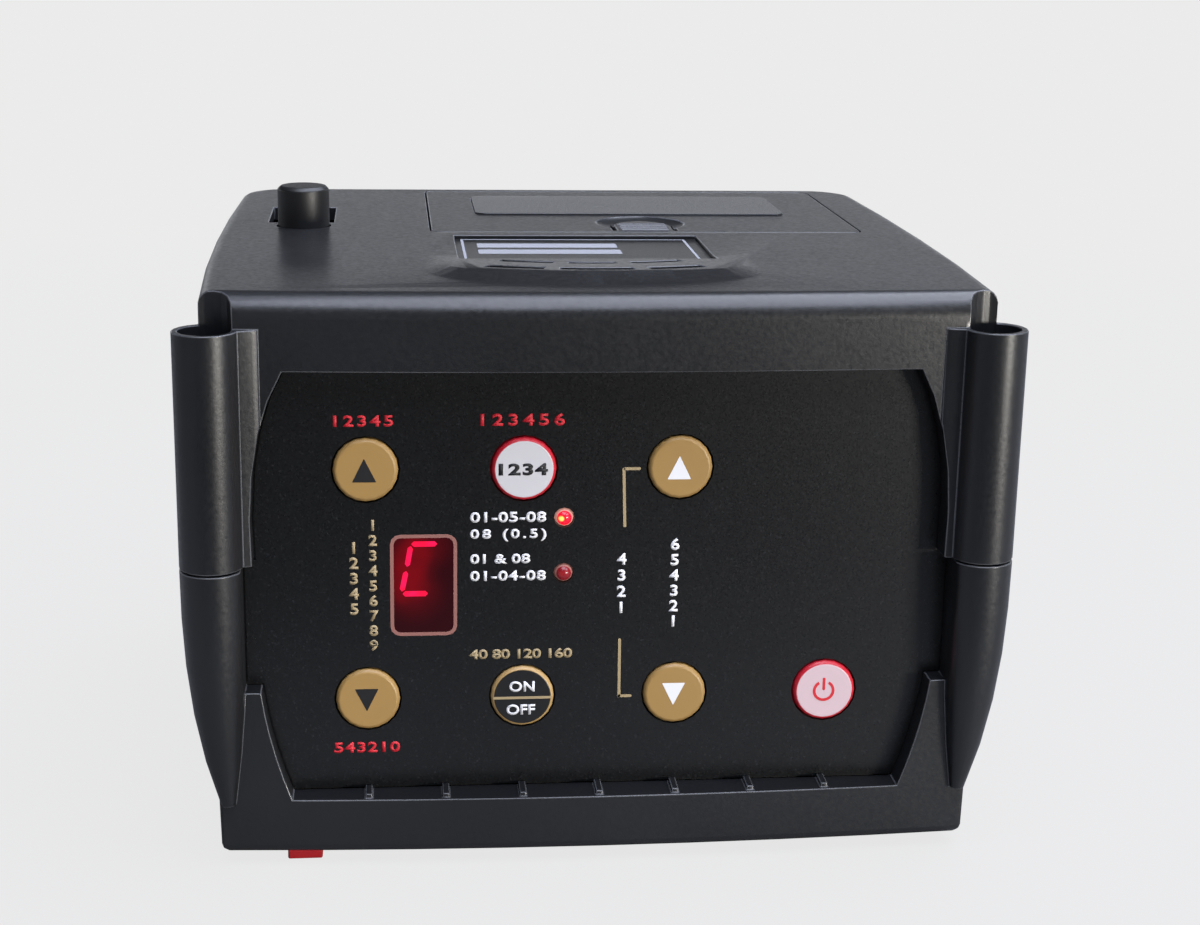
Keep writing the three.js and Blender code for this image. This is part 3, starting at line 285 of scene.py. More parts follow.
both = add_node(
    sky_tree,
    "ShaderNodeMixShader",
    {0: seen, 1: mirrored.outputs["Background"], 2: paper.outputs["Background"]},
)
add_node(sky_tree, "ShaderNodeOutputWorld", {"Surface": both.outputs["Shader"]})
bpy.context.scene.world = world
bpy.context.scene.view_settings.view_transform = "Standard"
print("pale band up to", BAND_TOP, "degrees, strength", BAND_STRENGTH)

# %% [markdown]
# ## Spark-eroded ABS
# The housing is moulded in black ABS. The steel mould was roughened by sparks, which leaves a fine
# pebbled grain. It is drawn seven tenths of a millimetre across, coarser than a real one, so that it
# shows. The grain is a small bump, and it also breaks the gloss up a little. Base colour and gloss are
# those of ABS, and so is its index of 1.5. A second, paler finish waits for the edges: partly wear, where
# hands and cloths rub the grain off, and partly a painted highlight, the light line a rounded edge catches.

# %% Housing material
GRAIN = 0.7 * MM
CLOUD = 30 * MM
ABS_IOR = 1.5


def moulded_plastic(name, colour, roughness, grain=GRAIN, depth=0.012, spread=0.06, cloudy=0.12):
    """Moulded plastic with a fine grain, whose size is in metres and whose depth is in millimetres."""
    material, tree, shader, place = start_material(name)
    cells = add_node(
        tree, "ShaderNodeTexNoise", {"Vector": place, "Scale": 1 / grain, "Detail": 3.0, "Roughness": 0.6}
    )
    cloud = add_node(tree, "ShaderNodeTexNoise", {"Vector": place, "Scale": 1 / CLOUD, "Detail": 3.0})
    tint = add_node(
        tree,
        "ShaderNodeValToRGB",
        {"Fac": cloud.outputs["Fac"]},
        stops=[(0.35, linear(colour, 1 - cloudy)), (0.65, linear(colour, 1 + cloudy))],
    )
    gloss = add_node(
        tree,
        "ShaderNodeMapRange",
        {"Value": cells.outputs["Fac"], "From Min": NOISE_LOW, "From Max": NOISE_HIGH,
         "To Min": roughness - spread, "To Max": roughness + spread},
    )
    tree.links.new(tint.outputs["Color"], shader.inputs["Base Color"])
    tree.links.new(gloss.outputs["Result"], shader.inputs["Roughness"])
    if depth:
        bump = add_node(
            tree, "ShaderNodeBump", {"Height": cells.outputs["Fac"], "Strength": 1.0, "Distance": depth * MM}
        )
        tree.links.new(bump.outputs["Normal"], shader.inputs["Normal"])
    shader.inputs["IOR"].default_value = ABS_IOR
    return material


housing_abs = moulded_plastic("spark_eroded_black_abs", "#18191b", 0.34, depth=0.02)
# The paler edge finish is partly wear and partly a painted highlight along every rounded edge.
worn_and_highlight_abs = moulded_plastic("rubbed_black_abs_edge_painted_highlight", "#47484b", 0.3, depth=0.0, cloudy=0.35)
inner_abs = moulded_plastic("smooth_black_abs", "#0e0e10", 0.5, depth=0.004)
print("ABS finishes:", [finish.name for finish in (housing_abs, worn_and_highlight_abs, inner_abs)])

# %% [markdown]
# ## Rounded edges
# No moulding has a knife edge. The CAD solids do, so each shell gets a stack of modifiers: weld its loose
# triangles, dissolve truly flat areas to single faces, bevel the edges that turn by more than the given
# angle, and weight the normals by area, the largest faces most, so that flats stay flat. Short sides
# round the grille's slots would hold every bevel back to almost nothing, so the bevel's clamp is off. The
# bevel's own faces can take the paler edge finish, wear and a painted highlight. Modifiers leave the CAD mesh
# itself alone.

# %% Edge rounding for CAD nodes
HOUSING_PIECES = ("upper_shell", "lower_shell", "battery_door")
HOUSING_ROUNDING = 0.18
WELD_GAP = 0.002
FLAT_WITHIN = 0.02
FLATS_FIRST = 90


def dress(name, material, rounding=0.0, angle=32, segments=2, edge_wear_and_highlight=None):
    """Gives a CAD node its material and, in millimetres, the rounding of its edges, paler on the bevel if
    asked: wear and a painted highlight.
    """
    piece = nodes[name]
    piece.data.materials.clear()
    for finish in [material] + ([edge_wear_and_highlight] if edge_wear_and_highlight else []):
        piece.data.materials.append(finish)
    piece.data.polygons.foreach_set("use_smooth", [True] * len(piece.data.polygons))
    weld = piece.modifiers.new("weld", "WELD")
    weld.merge_threshold = WELD_GAP * MM
    flat = piece.modifiers.new("flat", "DECIMATE")
    flat.decimate_type = "DISSOLVE"
    flat.angle_limit = math.radians(FLAT_WITHIN)
    if rounding:
        bevel = piece.modifiers.new("rounding", "BEVEL")
        bevel.width = rounding * MM
        bevel.segments = segments
        bevel.limit_method = "ANGLE"
        bevel.angle_limit = math.radians(angle)
        bevel.use_clamp_overlap = False
        bevel.material = 1 if edge_wear_and_highlight else -1
    else:
        split = piece.modifiers.new("creases", "EDGE_SPLIT")
        split.split_angle = math.radians(angle)
    weighted = piece.modifiers.new("normals", "WEIGHTED_NORMAL")
    weighted.keep_sharp = True
    weighted.weight = FLATS_FIRST


for name in HOUSING_PIECES:
    dress(name, housing_abs, rounding=HOUSING_ROUNDING, edge_wear_and_highlight=worn_and_highlight_abs)
# Their paler rounded edges are wear and a painted highlight.
print("housing pieces with rubbed edges:", len(HOUSING_PIECES))

# %% [markdown]
# ## The panel
# The front sheet is polycarbonate, printed black on its back and lightly textured on its face: very dark,
# satin, with the odd pale speck of dust in its texture. The plate behind it is plain black plastic, and
# the name plate and the blank label on the door are sheets of the same kind.

# %% Panel materials
SHEET_GRAIN = 0.3 * MM
LABEL_ROUNDING = 0.1
SPECK_SPACING = 0.35 * MM
SPECK_FROM, SPECK_TO = 0.62, 0.8


def reopen(material):
    """A made material's tree, its shader and its coordinates, so that more can be added."""
    tree = material.node_tree
    shader = next(item for item in tree.nodes if item.type == "BSDF_PRINCIPLED")
    place = next(item for item in tree.nodes if item.type == "TEX_COORD").outputs["Object"]
    return tree, shader, place


def tint_over(tree, shader, share, colour):
    """Lays a colour over the shader's own by a share from 0 to 1, and gives back the mixed colour."""
    tint = shader.inputs["Base Color"].links[0].from_socket
    mixed = add_node(tree, "ShaderNodeMix", {0: share, 6: tint, 7: linear(colour)}, data_type="RGBA")
    tree.links.new(mixed.outputs[2], shader.inputs["Base Color"])
    return mixed.outputs[2]


def speckled_sheet(name, colour, roughness, specks="#242527"):
    """Satin printed sheet with fine specks, about a tenth of a millimetre each."""
    material = moulded_plastic(name, colour, roughness, grain=SHEET_GRAIN, depth=0.003)
    tree, shader, place = reopen(material)
    dots = add_node(tree, "ShaderNodeTexNoise", {"Vector": place, "Scale": 1 / SPECK_SPACING, "Detail": 1.0})
    share = add_node(
        tree, "ShaderNodeValToRGB", {"Fac": dots.outputs["Fac"]}, stops=[(SPECK_FROM, NONE), (SPECK_TO, FULL)]
    )
    tint_over(tree, shader, share.outputs["Color"], specks)
    return material


panel_print = speckled_sheet("satin_printed_polycarbonate", "#090a0b", 0.32)
label_film = speckled_sheet("satin_label_film", "#26272a", 0.3)
dress("panel_overlay", panel_print)
dress("front_panel", inner_abs)
dress("name_plate", panel_print)
dress("door_label", label_film, rounding=LABEL_ROUNDING)
print("sheets:", [finish.name for finish in (panel_print, label_film)])

# %% [markdown]
# ## The keys
# The keys are short round caps. Four are tan all over. The two white ones are lit softly from behind and
# have a red ring printed round their rim, and the metronome key is black with a tan ring. Each ring is a
# mask: how far a point is from the key's own middle, measured on the panel, picks the rim's colour or the
# cap's.

# %% Key places and materials
KEY_PITCH = 24.0
COLUMN_1, COLUMN_2, COLUMN_3, COLUMN_4 = [KEY_PITCH * step for step in (-1.5, -0.5, 0.5, 1.5)]
UPPER_ROW, LOWER_ROW = 63.2, 26.3
PANEL_Y = -51.675
CAP_PROUD = 0.6
CAP_Y = PANEL_Y - CAP_PROUD
CAP_RADIUS = 4.95
CAP_GRAIN = 0.4 * MM
CAP_ROUNDING = 0.2
RIM_BLUR = 0.05
key_places = {
    "pitch_up": (COLUMN_1, UPPER_ROW),
    "mode": (COLUMN_2, UPPER_ROW),
    "volume_up": (COLUMN_3, UPPER_ROW),
    "pitch_down": (COLUMN_1, LOWER_ROW),
    "metronome": (COLUMN_2, LOWER_ROW),
    "volume_down": (COLUMN_3, LOWER_ROW),
    "power": (COLUMN_4, LOWER_ROW),
}


def panel_reach(tree, place, x, z):
    """How far a point is from a place on the panel in millimetres, measured along the panel in metres."""
    on_panel = add_node(tree, "ShaderNodeVectorMath", {0: place, 1: (1.0, 0.0, 1.0)}, operation="MULTIPLY")
    middle = (x * MM, 0.0, z * MM)
    reach = add_node(
        tree, "ShaderNodeVectorMath", {0: on_panel.outputs["Vector"], 1: middle}, operation="DISTANCE"
    )
    return reach.outputs["Value"]


def ringed_cap(name, key, inside, rim, rim_wide, glow=0.0):
    """A cap whose outer ring has its own colour; the inside can glow, as a cap lit from behind does."""
    material = moulded_plastic(name, inside, 0.4, grain=CAP_GRAIN, depth=0.002, cloudy=0.03)
    tree, shader, place = reopen(material)
    rim_from = CAP_RADIUS - rim_wide
    share = add_node(
        tree,
        "ShaderNodeMapRange",
        {"Value": panel_reach(tree, place, *key_places[key]), "From Min": (rim_from - RIM_BLUR) * MM,
         "From Max": (rim_from + RIM_BLUR) * MM},
    )
    mixed = tint_over(tree, shader, share.outputs["Result"], rim)
    tree.links.new(mixed, shader.inputs["Emission Color"])
    shader.inputs["Emission Strength"].default_value = glow
    return material


tan_cap = moulded_plastic("tan_satin_cap", "#9c7c48", 0.42, grain=CAP_GRAIN, depth=0.003, cloudy=0.05)
caps = {key: tan_cap for key in ("pitch_up", "volume_up", "pitch_down", "volume_down")}
for key, shade in (("mode", "#c2c1c5"), ("power", "#c6afb5")):
    caps[key] = ringed_cap(f"white_lit_cap_{key}", key, shade, "#b81c2c", 0.52, glow=0.06)
caps["metronome"] = ringed_cap("black_ringed_cap", "metronome", "#101113", "#b3935f", 0.5)
for key, cap in caps.items():
    dress(f"{key}_key", cap, rounding=CAP_ROUNDING, segments=3)
print("keys:", {key: cap.name for key, cap in caps.items()})

# %% [markdown]
# ## Red plastic, rubber and boards
# The plungers and the selector's knob are glossy red ABS. The plug and the feet are soft and dull, the
# ribbon is grey PVC, the loudspeaker's cone is pressed paper and its magnet is ferrite, a ceramic. The
# boards are green solder mask over fibreglass, with paler tracks.

# %% Moulded and pressed finishes
red_plastic = moulded_plastic("red_abs", "#b01a22", 0.35, depth=0.004)
rubber = moulded_plastic("black_rubber", "#151516", 0.7, depth=0.01)
plug_pvc = moulded_plastic("black_soft_pvc", "#101011", 0.45, grain=0.3 * MM, depth=0.006)
ribbon_pvc = moulded_plastic("grey_ribbon_pvc", "#8a8c8e", 0.45, depth=0.006)
cone_paper = moulded_plastic("pressed_cone_paper", "#242424", 0.9, grain=0.8 * MM, depth=0.03)
ferrite = moulded_plastic("sintered_ferrite", "#343436", 0.6, grain=0.6 * MM, depth=0.01)
TRACK_LONG, TRACK_SPACING, TRACK_GAP = 9 * MM, 2.5 * MM, 0.18 * MM


def board_material():
    """Green solder mask with straight tracks under it, drawn as thin bricks."""
    material = moulded_plastic("green_solder_mask", "#124326", 0.35, depth=0.0)
    tree, shader, place = reopen(material)
    tracks = add_node(
        tree,
        "ShaderNodeTexBrick",
        {"Vector": place, "Scale": 1.0, "Brick Width": TRACK_LONG, "Row Height": TRACK_SPACING,
         "Mortar Size": TRACK_GAP, "Mortar Smooth": 0.1, "Color1": linear("#0f3b21"),
         "Color2": linear("#15492a"), "Mortar": linear("#3f7d4c")},
    )
    tree.links.new(tracks.outputs["Color"], shader.inputs["Base Color"])
    return material


board_mask = board_material()
print("tracks every", TRACK_SPACING / MM, "mm on", board_mask.name)

# %% [markdown]
# ## Plated metal
# The screws, the loudspeaker's basket and the selector's can are plated steel, and the battery contacts
# are nickelled. A metal's look is all in its gloss, so fine scratches, a stretched noise, change how
# sharply it mirrors from place to place.

# %% Metal finishes
SCRATCH_SPACING = 0.25 * MM
BUFFED, SCUFFED = 0.08, 0.12


def steel_material(name, colour, roughness, along=(1.0, 1.0, 1.0)):
    """Plated steel, with fine scratches drawn out along one axis."""
    material, tree, shader, place = start_material(name)
    drawn = add_node(tree, "ShaderNodeVectorMath", {0: place, 1: along}, operation="MULTIPLY")
    scratches = add_node(
        tree,
        "ShaderNodeTexNoise",
        {"Vector": drawn.outputs["Vector"], "Scale": 1 / SCRATCH_SPACING, "Detail": 2.0},
    )
    gloss = add_node(
        tree,
        "ShaderNodeMapRange",
        {"Value": scratches.outputs["Fac"], "To Min": roughness - BUFFED, "To Max": roughness + SCUFFED},
    )
    tree.links.new(gloss.outputs["Result"], shader.inputs["Roughness"])
    tint = add_node(
        tree,
        "ShaderNodeValToRGB",
        {"Fac": scratches.outputs["Fac"]},
        stops=[(NOISE_LOW, linear(colour, 0.85)), (NOISE_HIGH, linear(colour))],
    )
    tree.links.new(tint.outputs["Color"], shader.inputs["Base Color"])
    shader.inputs["Metallic"].default_value = 1.0
    return material


plated_steel = steel_material("plated_steel", "#9b9da0", 0.3, along=(1.0, 1.0, 0.15))
nickel = steel_material("nickel_plate", "#b9b4a6", 0.22)
print("metals:", plated_steel.name, "and", nickel.name)

# %% [markdown]
# ## Dressing what is inside and underneath
# Each of the pieces behind the panel and in the housing gets the finish of its real stock part. Only
# those that a hand or the table touches are rounded: the feet, the plug and the selector's knob.

# %% Inner pieces, feet, plug and knob
LEADS = ("speaker_lead", "battery_lead", "supply_lead")
SCREWS = [f"case_screw_{number}" for number in range(1, 5)]
for key in key_places:
    dress(f"{key}_plunger", red_plastic)
    dress(f"{key}_switch", inner_abs)
for name in ("display_module", "battery_holder", "supply_socket", *LEADS):
    dress(name, inner_abs)
for name in ("control_board", "main_board"):
    dress(name, board_mask)
for name in ("speaker_basket", "selector_body", *SCREWS):
    dress(name, plated_steel)
for number in range(1, 5):
    dress(f"foot_{number}", rubber, rounding=0.4)
dress("supply_plug", plug_pvc, rounding=0.2)
dress("board_ribbon", ribbon_pvc)
dress("speaker_cone", cone_paper)
dress("speaker_magnet", ferrite)
dress("selector_knob", red_plastic, rounding=0.3)
print("dressed so far:", sum(1 for piece in nodes.values() if piece.modifiers), "of", len(nodes), "nodes")

# %% [markdown]
# ## The cells
# An AA cell is a steel can in a printed jacket: dark over most of its length, with a copper band at its
# plus end. The cells lie along X and face left and right in turn, so a mask on X paints the band at
# whichever end has the nub. The mask runs from 0 at the flat end to 1 at the nub.

# %% Cell jackets
CELL_COUNT = 6
CELL_ROWS = 3
CELL_MIDDLE = 13.35
CELL_HALF = 25.2
BAND_LONG = 13.0
FLAT_END, NUB_END = 0.018, 0.97


def cell_facing(number):
    """Which way a cell's plus end points: 1 to the right, -1 to the left."""
    row, layer = number % CELL_ROWS, number // CELL_ROWS
    return 1 if (row + layer) % 2 else -1


def jacket_material(name, facing):
    """Glossy printed jacket with its band at the end that the cell faces, and bare metal at both ends."""
    material, tree, shader, place = start_material(name)
    across = add_node(tree, "ShaderNodeSeparateXYZ", {0: place}).outputs["X"]
    along = add_node(
        tree,
        "ShaderNodeMapRange",
        {"Value": across, "From Min": (CELL_MIDDLE - facing * CELL_HALF) * MM,
         "From Max": (CELL_MIDDLE + facing * CELL_HALF) * MM},
    ).outputs["Result"]
    band_from = 1 - BAND_LONG / (2 * CELL_HALF)
    steel, dark, copper = linear("#b4b2ad"), linear("#1b1f24"), linear("#b87333")
    printed = [(0.0, steel), (FLAT_END, dark), (band_from, copper), (NUB_END, steel)]
    metallic = [(0.0, FULL), (FLAT_END, NONE), (band_from, FULL)]
    for stops, socket in ((printed, "Base Color"), (metallic, "Metallic")):
        bands = add_node(tree, "ShaderNodeValToRGB", {"Fac": along}, stops=stops)
        bands.color_ramp.interpolation = "CONSTANT"
        tree.links.new(bands.outputs["Color"], shader.inputs[socket])
    shader.inputs["Roughness"].default_value = 0.28
    return material


jackets = {1: jacket_material("cell_jacket_right", 1), -1: jacket_material("cell_jacket_left", -1)}
for number in range(CELL_COUNT):
    dress(f"cell_{number + 1}", jackets[cell_facing(number)], rounding=0.35)
print("plus ends:", [cell_facing(number) for number in range(CELL_COUNT)])

# %% [markdown]
# ## A contact spring
# Each cell is pushed against a plate by a spring, a conical coil of nickelled wire. A small circle is
# screwed round an axis and then tapered, so that its turns can sink into one another. Both ends are
# filled, because a cut wire is solid.

# %% Spring
END_ROOM = 3.1
SPRING_WIRE, SPRING_RADIUS, SPRING_TURNS, SPRING_TAPER = 0.28, 3.3, 3, -0.5
SPRING_PLAY = 0.15
WIRE_SIDES, TURN_STEPS = 8, 20


def settle(piece):
    """Bakes a piece's place, turn and size into its mesh."""
    bpy.ops.object.select_all(action="DESELECT")
    piece.select_set(True)
    bpy.context.view_layer.objects.active = piece
    bpy.ops.object.transform_apply(location=True, rotation=True, scale=True)


def edit_mesh(piece):
    """Opens a piece for modelling with everything in it selected."""
    bpy.ops.object.select_all(action="DESELECT")
    piece.select_set(True)
    bpy.context.view_layer.objects.active = piece
    bpy.ops.object.mode_set(mode="EDIT")
    bpy.ops.mesh.select_all(action="SELECT")


def contact_spring():
    """A conical coil that stands on the origin and rises along Z."""
    bpy.ops.object.select_all(action="DESELECT")
    bpy.ops.mesh.primitive_circle_add(
        vertices=WIRE_SIDES,
        radius=SPRING_WIRE * MM,
        location=(SPRING_RADIUS * MM, 0, SPRING_WIRE * MM),
        rotation=(math.radians(90), 0, 0),
    )
    coil = bpy.context.object
    settle(coil)
    screw = coil.modifiers.new("turns", "SCREW")
    screw.angle = math.radians(360 * SPRING_TURNS)
    screw.screw_offset = (END_ROOM - SPRING_PLAY - 2 * SPRING_WIRE) * MM
    screw.steps = screw.render_steps = TURN_STEPS * SPRING_TURNS
    taper = coil.modifiers.new("taper", "SIMPLE_DEFORM")
    taper.deform_method = "TAPER"
    taper.deform_axis = "Z"
    taper.factor = SPRING_TAPER
    for step in ("turns", "taper"):
        bpy.ops.object.modifier_apply(modifier=step)
    edit_mesh(coil)
    bpy.ops.mesh.fill_holes(sides=WIRE_SIDES)
    bpy.ops.mesh.select_all(action="SELECT")
    bpy.ops.mesh.normals_make_consistent(inside=False)
    bpy.ops.object.mode_set(mode="OBJECT")
    bpy.ops.object.shade_smooth_by_angle(angle=math.radians(60))
    return coil


spring = contact_spring()
print("spring:", SPRING_TURNS, "turns,", len(spring.data.polygons), "faces")

# %% [markdown]
# ## A contact plate
# The plate is stamped: a thin square of metal with its middle pressed out towards the cell. A cube is
# scaled flat, its upper face is inset, drawn up and narrowed, and its edges are softened, as a press
# leaves them.

# %% Plate
PLATE_HALF, PLATE_THICK = 3.6, 0.3
PLATE_PLAY = 0.1
PLATE_RIM = 1.4
PLATE_NARROWING = 0.6
PLATE_SOFT = 0.12


def contact_plate():
    """A stamped plate that lies on the origin, its middle pressed up along Z."""
    bpy.ops.object.select_all(action="DESELECT")
    bpy.ops.mesh.primitive_cube_add(size=1, location=(0, 0, PLATE_THICK / 2 * MM))
    stamped = bpy.context.object
    stamped.scale = (2 * PLATE_HALF * MM, 2 * PLATE_HALF * MM, PLATE_THICK * MM)
    settle(stamped)
    edit_mesh(stamped)
    bpy.ops.mesh.select_all(action="DESELECT")
    bpy.ops.object.mode_set(mode="OBJECT")
    for face in stamped.data.polygons:
        face.select = face.normal.z > 0.9
    bpy.ops.object.mode_set(mode="EDIT")
    bpy.ops.mesh.inset(thickness=PLATE_RIM * MM)
    rise = (END_ROOM - PLATE_PLAY - PLATE_THICK) * MM
    bpy.ops.mesh.extrude_region_move(TRANSFORM_OT_translate={"value": (0, 0, rise)})
    bpy.ops.transform.resize(value=(PLATE_NARROWING, PLATE_NARROWING, 1))
    bpy.ops.object.mode_set(mode="OBJECT")
    soft = stamped.modifiers.new("soft", "BEVEL")
    soft.width = PLATE_SOFT * MM
    soft.segments = 2
    bpy.ops.object.modifier_apply(modifier="soft")
    return stamped


plate = contact_plate()
print("plate:", len(plate.data.polygons), "faces")

# %% [markdown]
# ## Contacts at every cell
# One spring and one plate were modelled on the origin. Each cell now gets a copy of both, with its own
# mesh: the spring at its flat end and the plate at its nub, turned to point inwards from the holder's two
# ends.

# %% Battery contacts
HOLDER_ENDS = {-1: -14.95, 1: 41.65}
WALL_GAP = 0.05


def set_contact(pattern, name, x, y, z, side):
    """A copy of a contact with its own mesh, turned to point inwards from one end of the holder."""
    copy = pattern.copy()
    copy.data = pattern.data.copy()
    bpy.context.scene.collection.objects.link(copy)
    copy.name = name
    copy.rotation_euler = (0, math.radians(-90 * side), 0)
    copy.location = (x * MM, y * MM, z * MM)
    settle(copy)
    copy.data.materials.clear()
    copy.data.materials.append(nickel)
    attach(copy, "housing")


for number in range(CELL_COUNT):
    low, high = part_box(f"cell_{number + 1}")
    y, z = (low.y + high.y) / 2 / MM, (low.z + high.z) / 2 / MM
    facing = cell_facing(number)
    spring_x = HOLDER_ENDS[-facing] + facing * WALL_GAP
    plate_x = HOLDER_ENDS[facing] - facing * WALL_GAP
    set_contact(spring, f"contact_spring_{number + 1}", spring_x, y, z, -facing)
    set_contact(plate, f"contact_plate_{number + 1}", plate_x, y, z, facing)
for pattern in (spring, plate):
    bpy.data.objects.remove(pattern)
print("contacts:", CELL_COUNT, "springs and", CELL_COUNT, "plates")

# %% [markdown]
# ## Ink
# The print on the panel is silk-screened ink, a few hundredths of a millimetre thick. Each mark is drawn
# flat in millimetres of the panel, given that thickness, stood upright and set on the sheet. A hint of
# grain in its gloss keeps it from looking like a cut-out.

# %% Inks, and how a mark is laid
INK_THICK = 0.04 * MM
INK_SUNK = 0.01 * MM
INK_GRAIN = 0.25 * MM


def ink_material(name, colour, glow=0.0):
    """Matte ink; a little glow, given here to the red ink only, is painted light, since ink gives none of its
    own.
    """
    material = moulded_plastic(name, colour, 0.55, grain=INK_GRAIN, depth=0.0, cloudy=0.06)
    shader = reopen(material)[1]
    shader.inputs["Emission Color"].default_value = linear(colour)
    shader.inputs["Emission Strength"].default_value = glow
    return material


# The red ink's small glow is painted light, which lifts it off the dark sheet.
red_ink_painted_glow = ink_material("red_ink_painted_glow", "#c01c2a", 0.08)
tan_ink = ink_material("tan_ink", "#a08e6c")
white_ink = ink_material("white_ink", "#e2e3e8")
black_ink = ink_material("black_ink", "#0c0d10")
blush_ink = ink_material("pink_brown_ink", "#8d5f58")
grey_ink = ink_material("pale_grey_ink", "#8f9197")


def print_on(piece, name, ink, body="housing", plane=PANEL_Y, upright=True):
    """Thickens a flat drawing, sets it on an upright plane or a level one, and lets it ride on a body."""
    edit_mesh(piece)
    bpy.ops.mesh.extrude_region_move(TRANSFORM_OT_translate={"value": (0, 0, INK_THICK)})
    bpy.ops.mesh.select_all(action="SELECT")
    bpy.ops.mesh.normals_make_consistent(inside=False)
    bpy.ops.object.mode_set(mode="OBJECT")
    piece.name = name
    if upright:
        piece.rotation_euler = (math.radians(90), 0, 0)
        piece.location.y = plane * MM + INK_SUNK
    else:
        piece.location.z = plane * MM - INK_SUNK
    settle(piece)
    piece.data.materials.clear()
    piece.data.materials.append(ink)
    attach(piece, body)


print("ink stands", round((INK_THICK - INK_SUNK) / MM, 3), "mm proud of its sheet")

# %% [markdown]
# ## Numerals on the panel
# Plain numbers label the keys: steps over and under the pitch keys, slots over the mode key, beats a
# minute over the metronome, and the notes of each drone, counted from its ground note, beside the two
# lamps. Blender's own font is narrower than panel lettering, so each row is made a little bolder and
# wider, and its letter spacing is then worked out from two trial widths so that it fills its box.

# %% Rows and columns of numerals
TRIAL_SPACING = 1.5
TINY_GAP = 0.001


def text_stretch(text, column):
    """How long a row is for its height, or a column for its width."""
    bpy.context.view_layer.update()
    shape = text.dimensions.x / text.dimensions.y
    return 1 / shape if column else shape


def flat_spans(piece):
    """The least and greatest x, and the least and greatest y, of a flat mesh."""
    xs = [vertex.co.x for vertex in piece.data.vertices]
    ys = [vertex.co.y for vertex in piece.data.vertices]
    return min(xs), max(xs), min(ys), max(ys)


def flat_words(words, left, right, low, high, bold=0.032, wider=1.35):
    """Numerals as a flat mesh that fills a box of the panel, in millimetres: widened, then spaced to fit."""
    bpy.ops.object.text_add()
    text = bpy.context.object
    text.data.body = words
    text.data.align_x = "CENTER"
    text.data.offset = bold
    text.data.resolution_u = 5
    column = "\n" in words
    spacing = "space_line" if column else "space_character"
    shape = (right - left) / (high - low) / wider
    wanted = 1 / shape if column else shape
    close = text_stretch(text, column)
    setattr(text.data, spacing, TRIAL_SPACING)
    step = (text_stretch(text, column) - close) / (TRIAL_SPACING - 1)
    setattr(text.data, spacing, 1 + (wanted - close) / step)
    print(words.replace("\n", " "), spacing, round(getattr(text.data, spacing), 2))
    bpy.ops.object.convert(target="MESH")
    mesh = bpy.context.object
    least_x, most_x, least_y, most_y = flat_spans(mesh)
    across, up = (right - left) * MM / (most_x - least_x), (high - low) * MM / (most_y - least_y)
    mesh.scale = (across, up, 1)
    mesh.location = (left * MM - least_x * across, low * MM - least_y * up, 0)
    settle(mesh)
    edit_mesh(mesh)
    bpy.ops.mesh.remove_doubles(threshold=TINY_GAP * MM)
    bpy.ops.object.mode_set(mode="OBJECT")
    return mesh


rows = [
    ("print_pitch_steps", "12345", red_ink_painted_glow, "accent_red", (-40.74, -31.77, 69.91, 71.70)),
    ("print_mode_slots", "123456", red_ink_painted_glow, "accent_red", (-18.65, -5.85, 69.89, 71.83)),
    ("print_pitch_recall", "543210", red_ink_painted_glow, "accent_red", (-41.38, -31.12, 17.28, 19.05)),
    ("print_beats", "40 80 120 160", tan_ink, "key_tan", (-20.32, -4.25, 32.45, 34.10)),
    ("print_drone_1", "01-05-08", white_ink, "key_white", (-20.19, -8.53, 54.65, 56.35)),
    ("print_drone_2", "08 (0.5)", white_ink, "key_white", (-20.19, -8.48, 51.62, 53.62)),
    ("print_drone_3", "01 & 08", white_ink, "key_white", (-20.19, -10.96, 48.03, 49.62)),
    ("print_drone_4", "01-04-08", white_ink, "key_white", (-20.19, -8.50, 45.25, 46.90)),
]
for name, words, ink, slot, box in rows:
    print_on(flat_words(words, *box), name, ink)
columns = [
    ("print_pitch_column", "12345", tan_ink, "key_tan", (-38.72, -37.22, 40.07, 51.80)),
    ("print_beat_column", "123456789", tan_ink, "key_tan", (-35.75, -34.25, 34.14, 55.30)),
    ("print_hush_column", "4321", white_ink, "key_white", (2.50, 4.00, 39.68, 49.46)),
    ("print_level_column", "654321", white_ink, "key_white", (10.74, 12.24, 37.30, 51.78)),
]
for name, words, ink, slot, box in columns:
    print_on(flat_words("\n".join(words), *box, wider=1.15), name, ink)

# %% [markdown]
# ## Marks on the sheet
# Two brackets tie the volume keys to the numbers between them, and a pinkish line frames the display. The
# brackets are bars with rounded ends, and the frame is a rounded plate, inset by the line's width,
# without its middle.

# %% Brackets and frame
BRACKET_LINE, BRACKET_CORNER = 0.45, 0.2
FRAME_X, FRAME_Z = -27.3, 44.7
FRAME_WIDE, FRAME_HIGH, FRAME_CORNER = 10.25, 16.35, 1.55
FRAME_LINE = 0.55


def flat_bar(x, z, wide, high, corner=0.15, turn=0.0, steps=3):
    """A flat bar with rounded corners, or cut ones with one step, drawn in millimetres round its middle."""
    bpy.ops.mesh.primitive_plane_add(size=1)
    bar = bpy.context.object
    bar.scale = (wide * MM, high * MM, 1)
    settle(bar)
    edit_mesh(bar)
    bpy.ops.mesh.bevel(offset=corner * MM, segments=steps, affect="VERTICES")
    bpy.ops.object.mode_set(mode="OBJECT")
    bar.rotation_euler = (0, 0, math.radians(turn))
    bar.location = (x * MM, z * MM, 0)
    settle(bar)
    return bar


def leave_line(piece, line):
    """Turns a flat plate of one face into a line round its edge."""
    edit_mesh(piece)
    bpy.ops.mesh.inset(thickness=line * MM)
    bpy.ops.mesh.delete(type="FACE")
    bpy.ops.object.mode_set(mode="OBJECT")


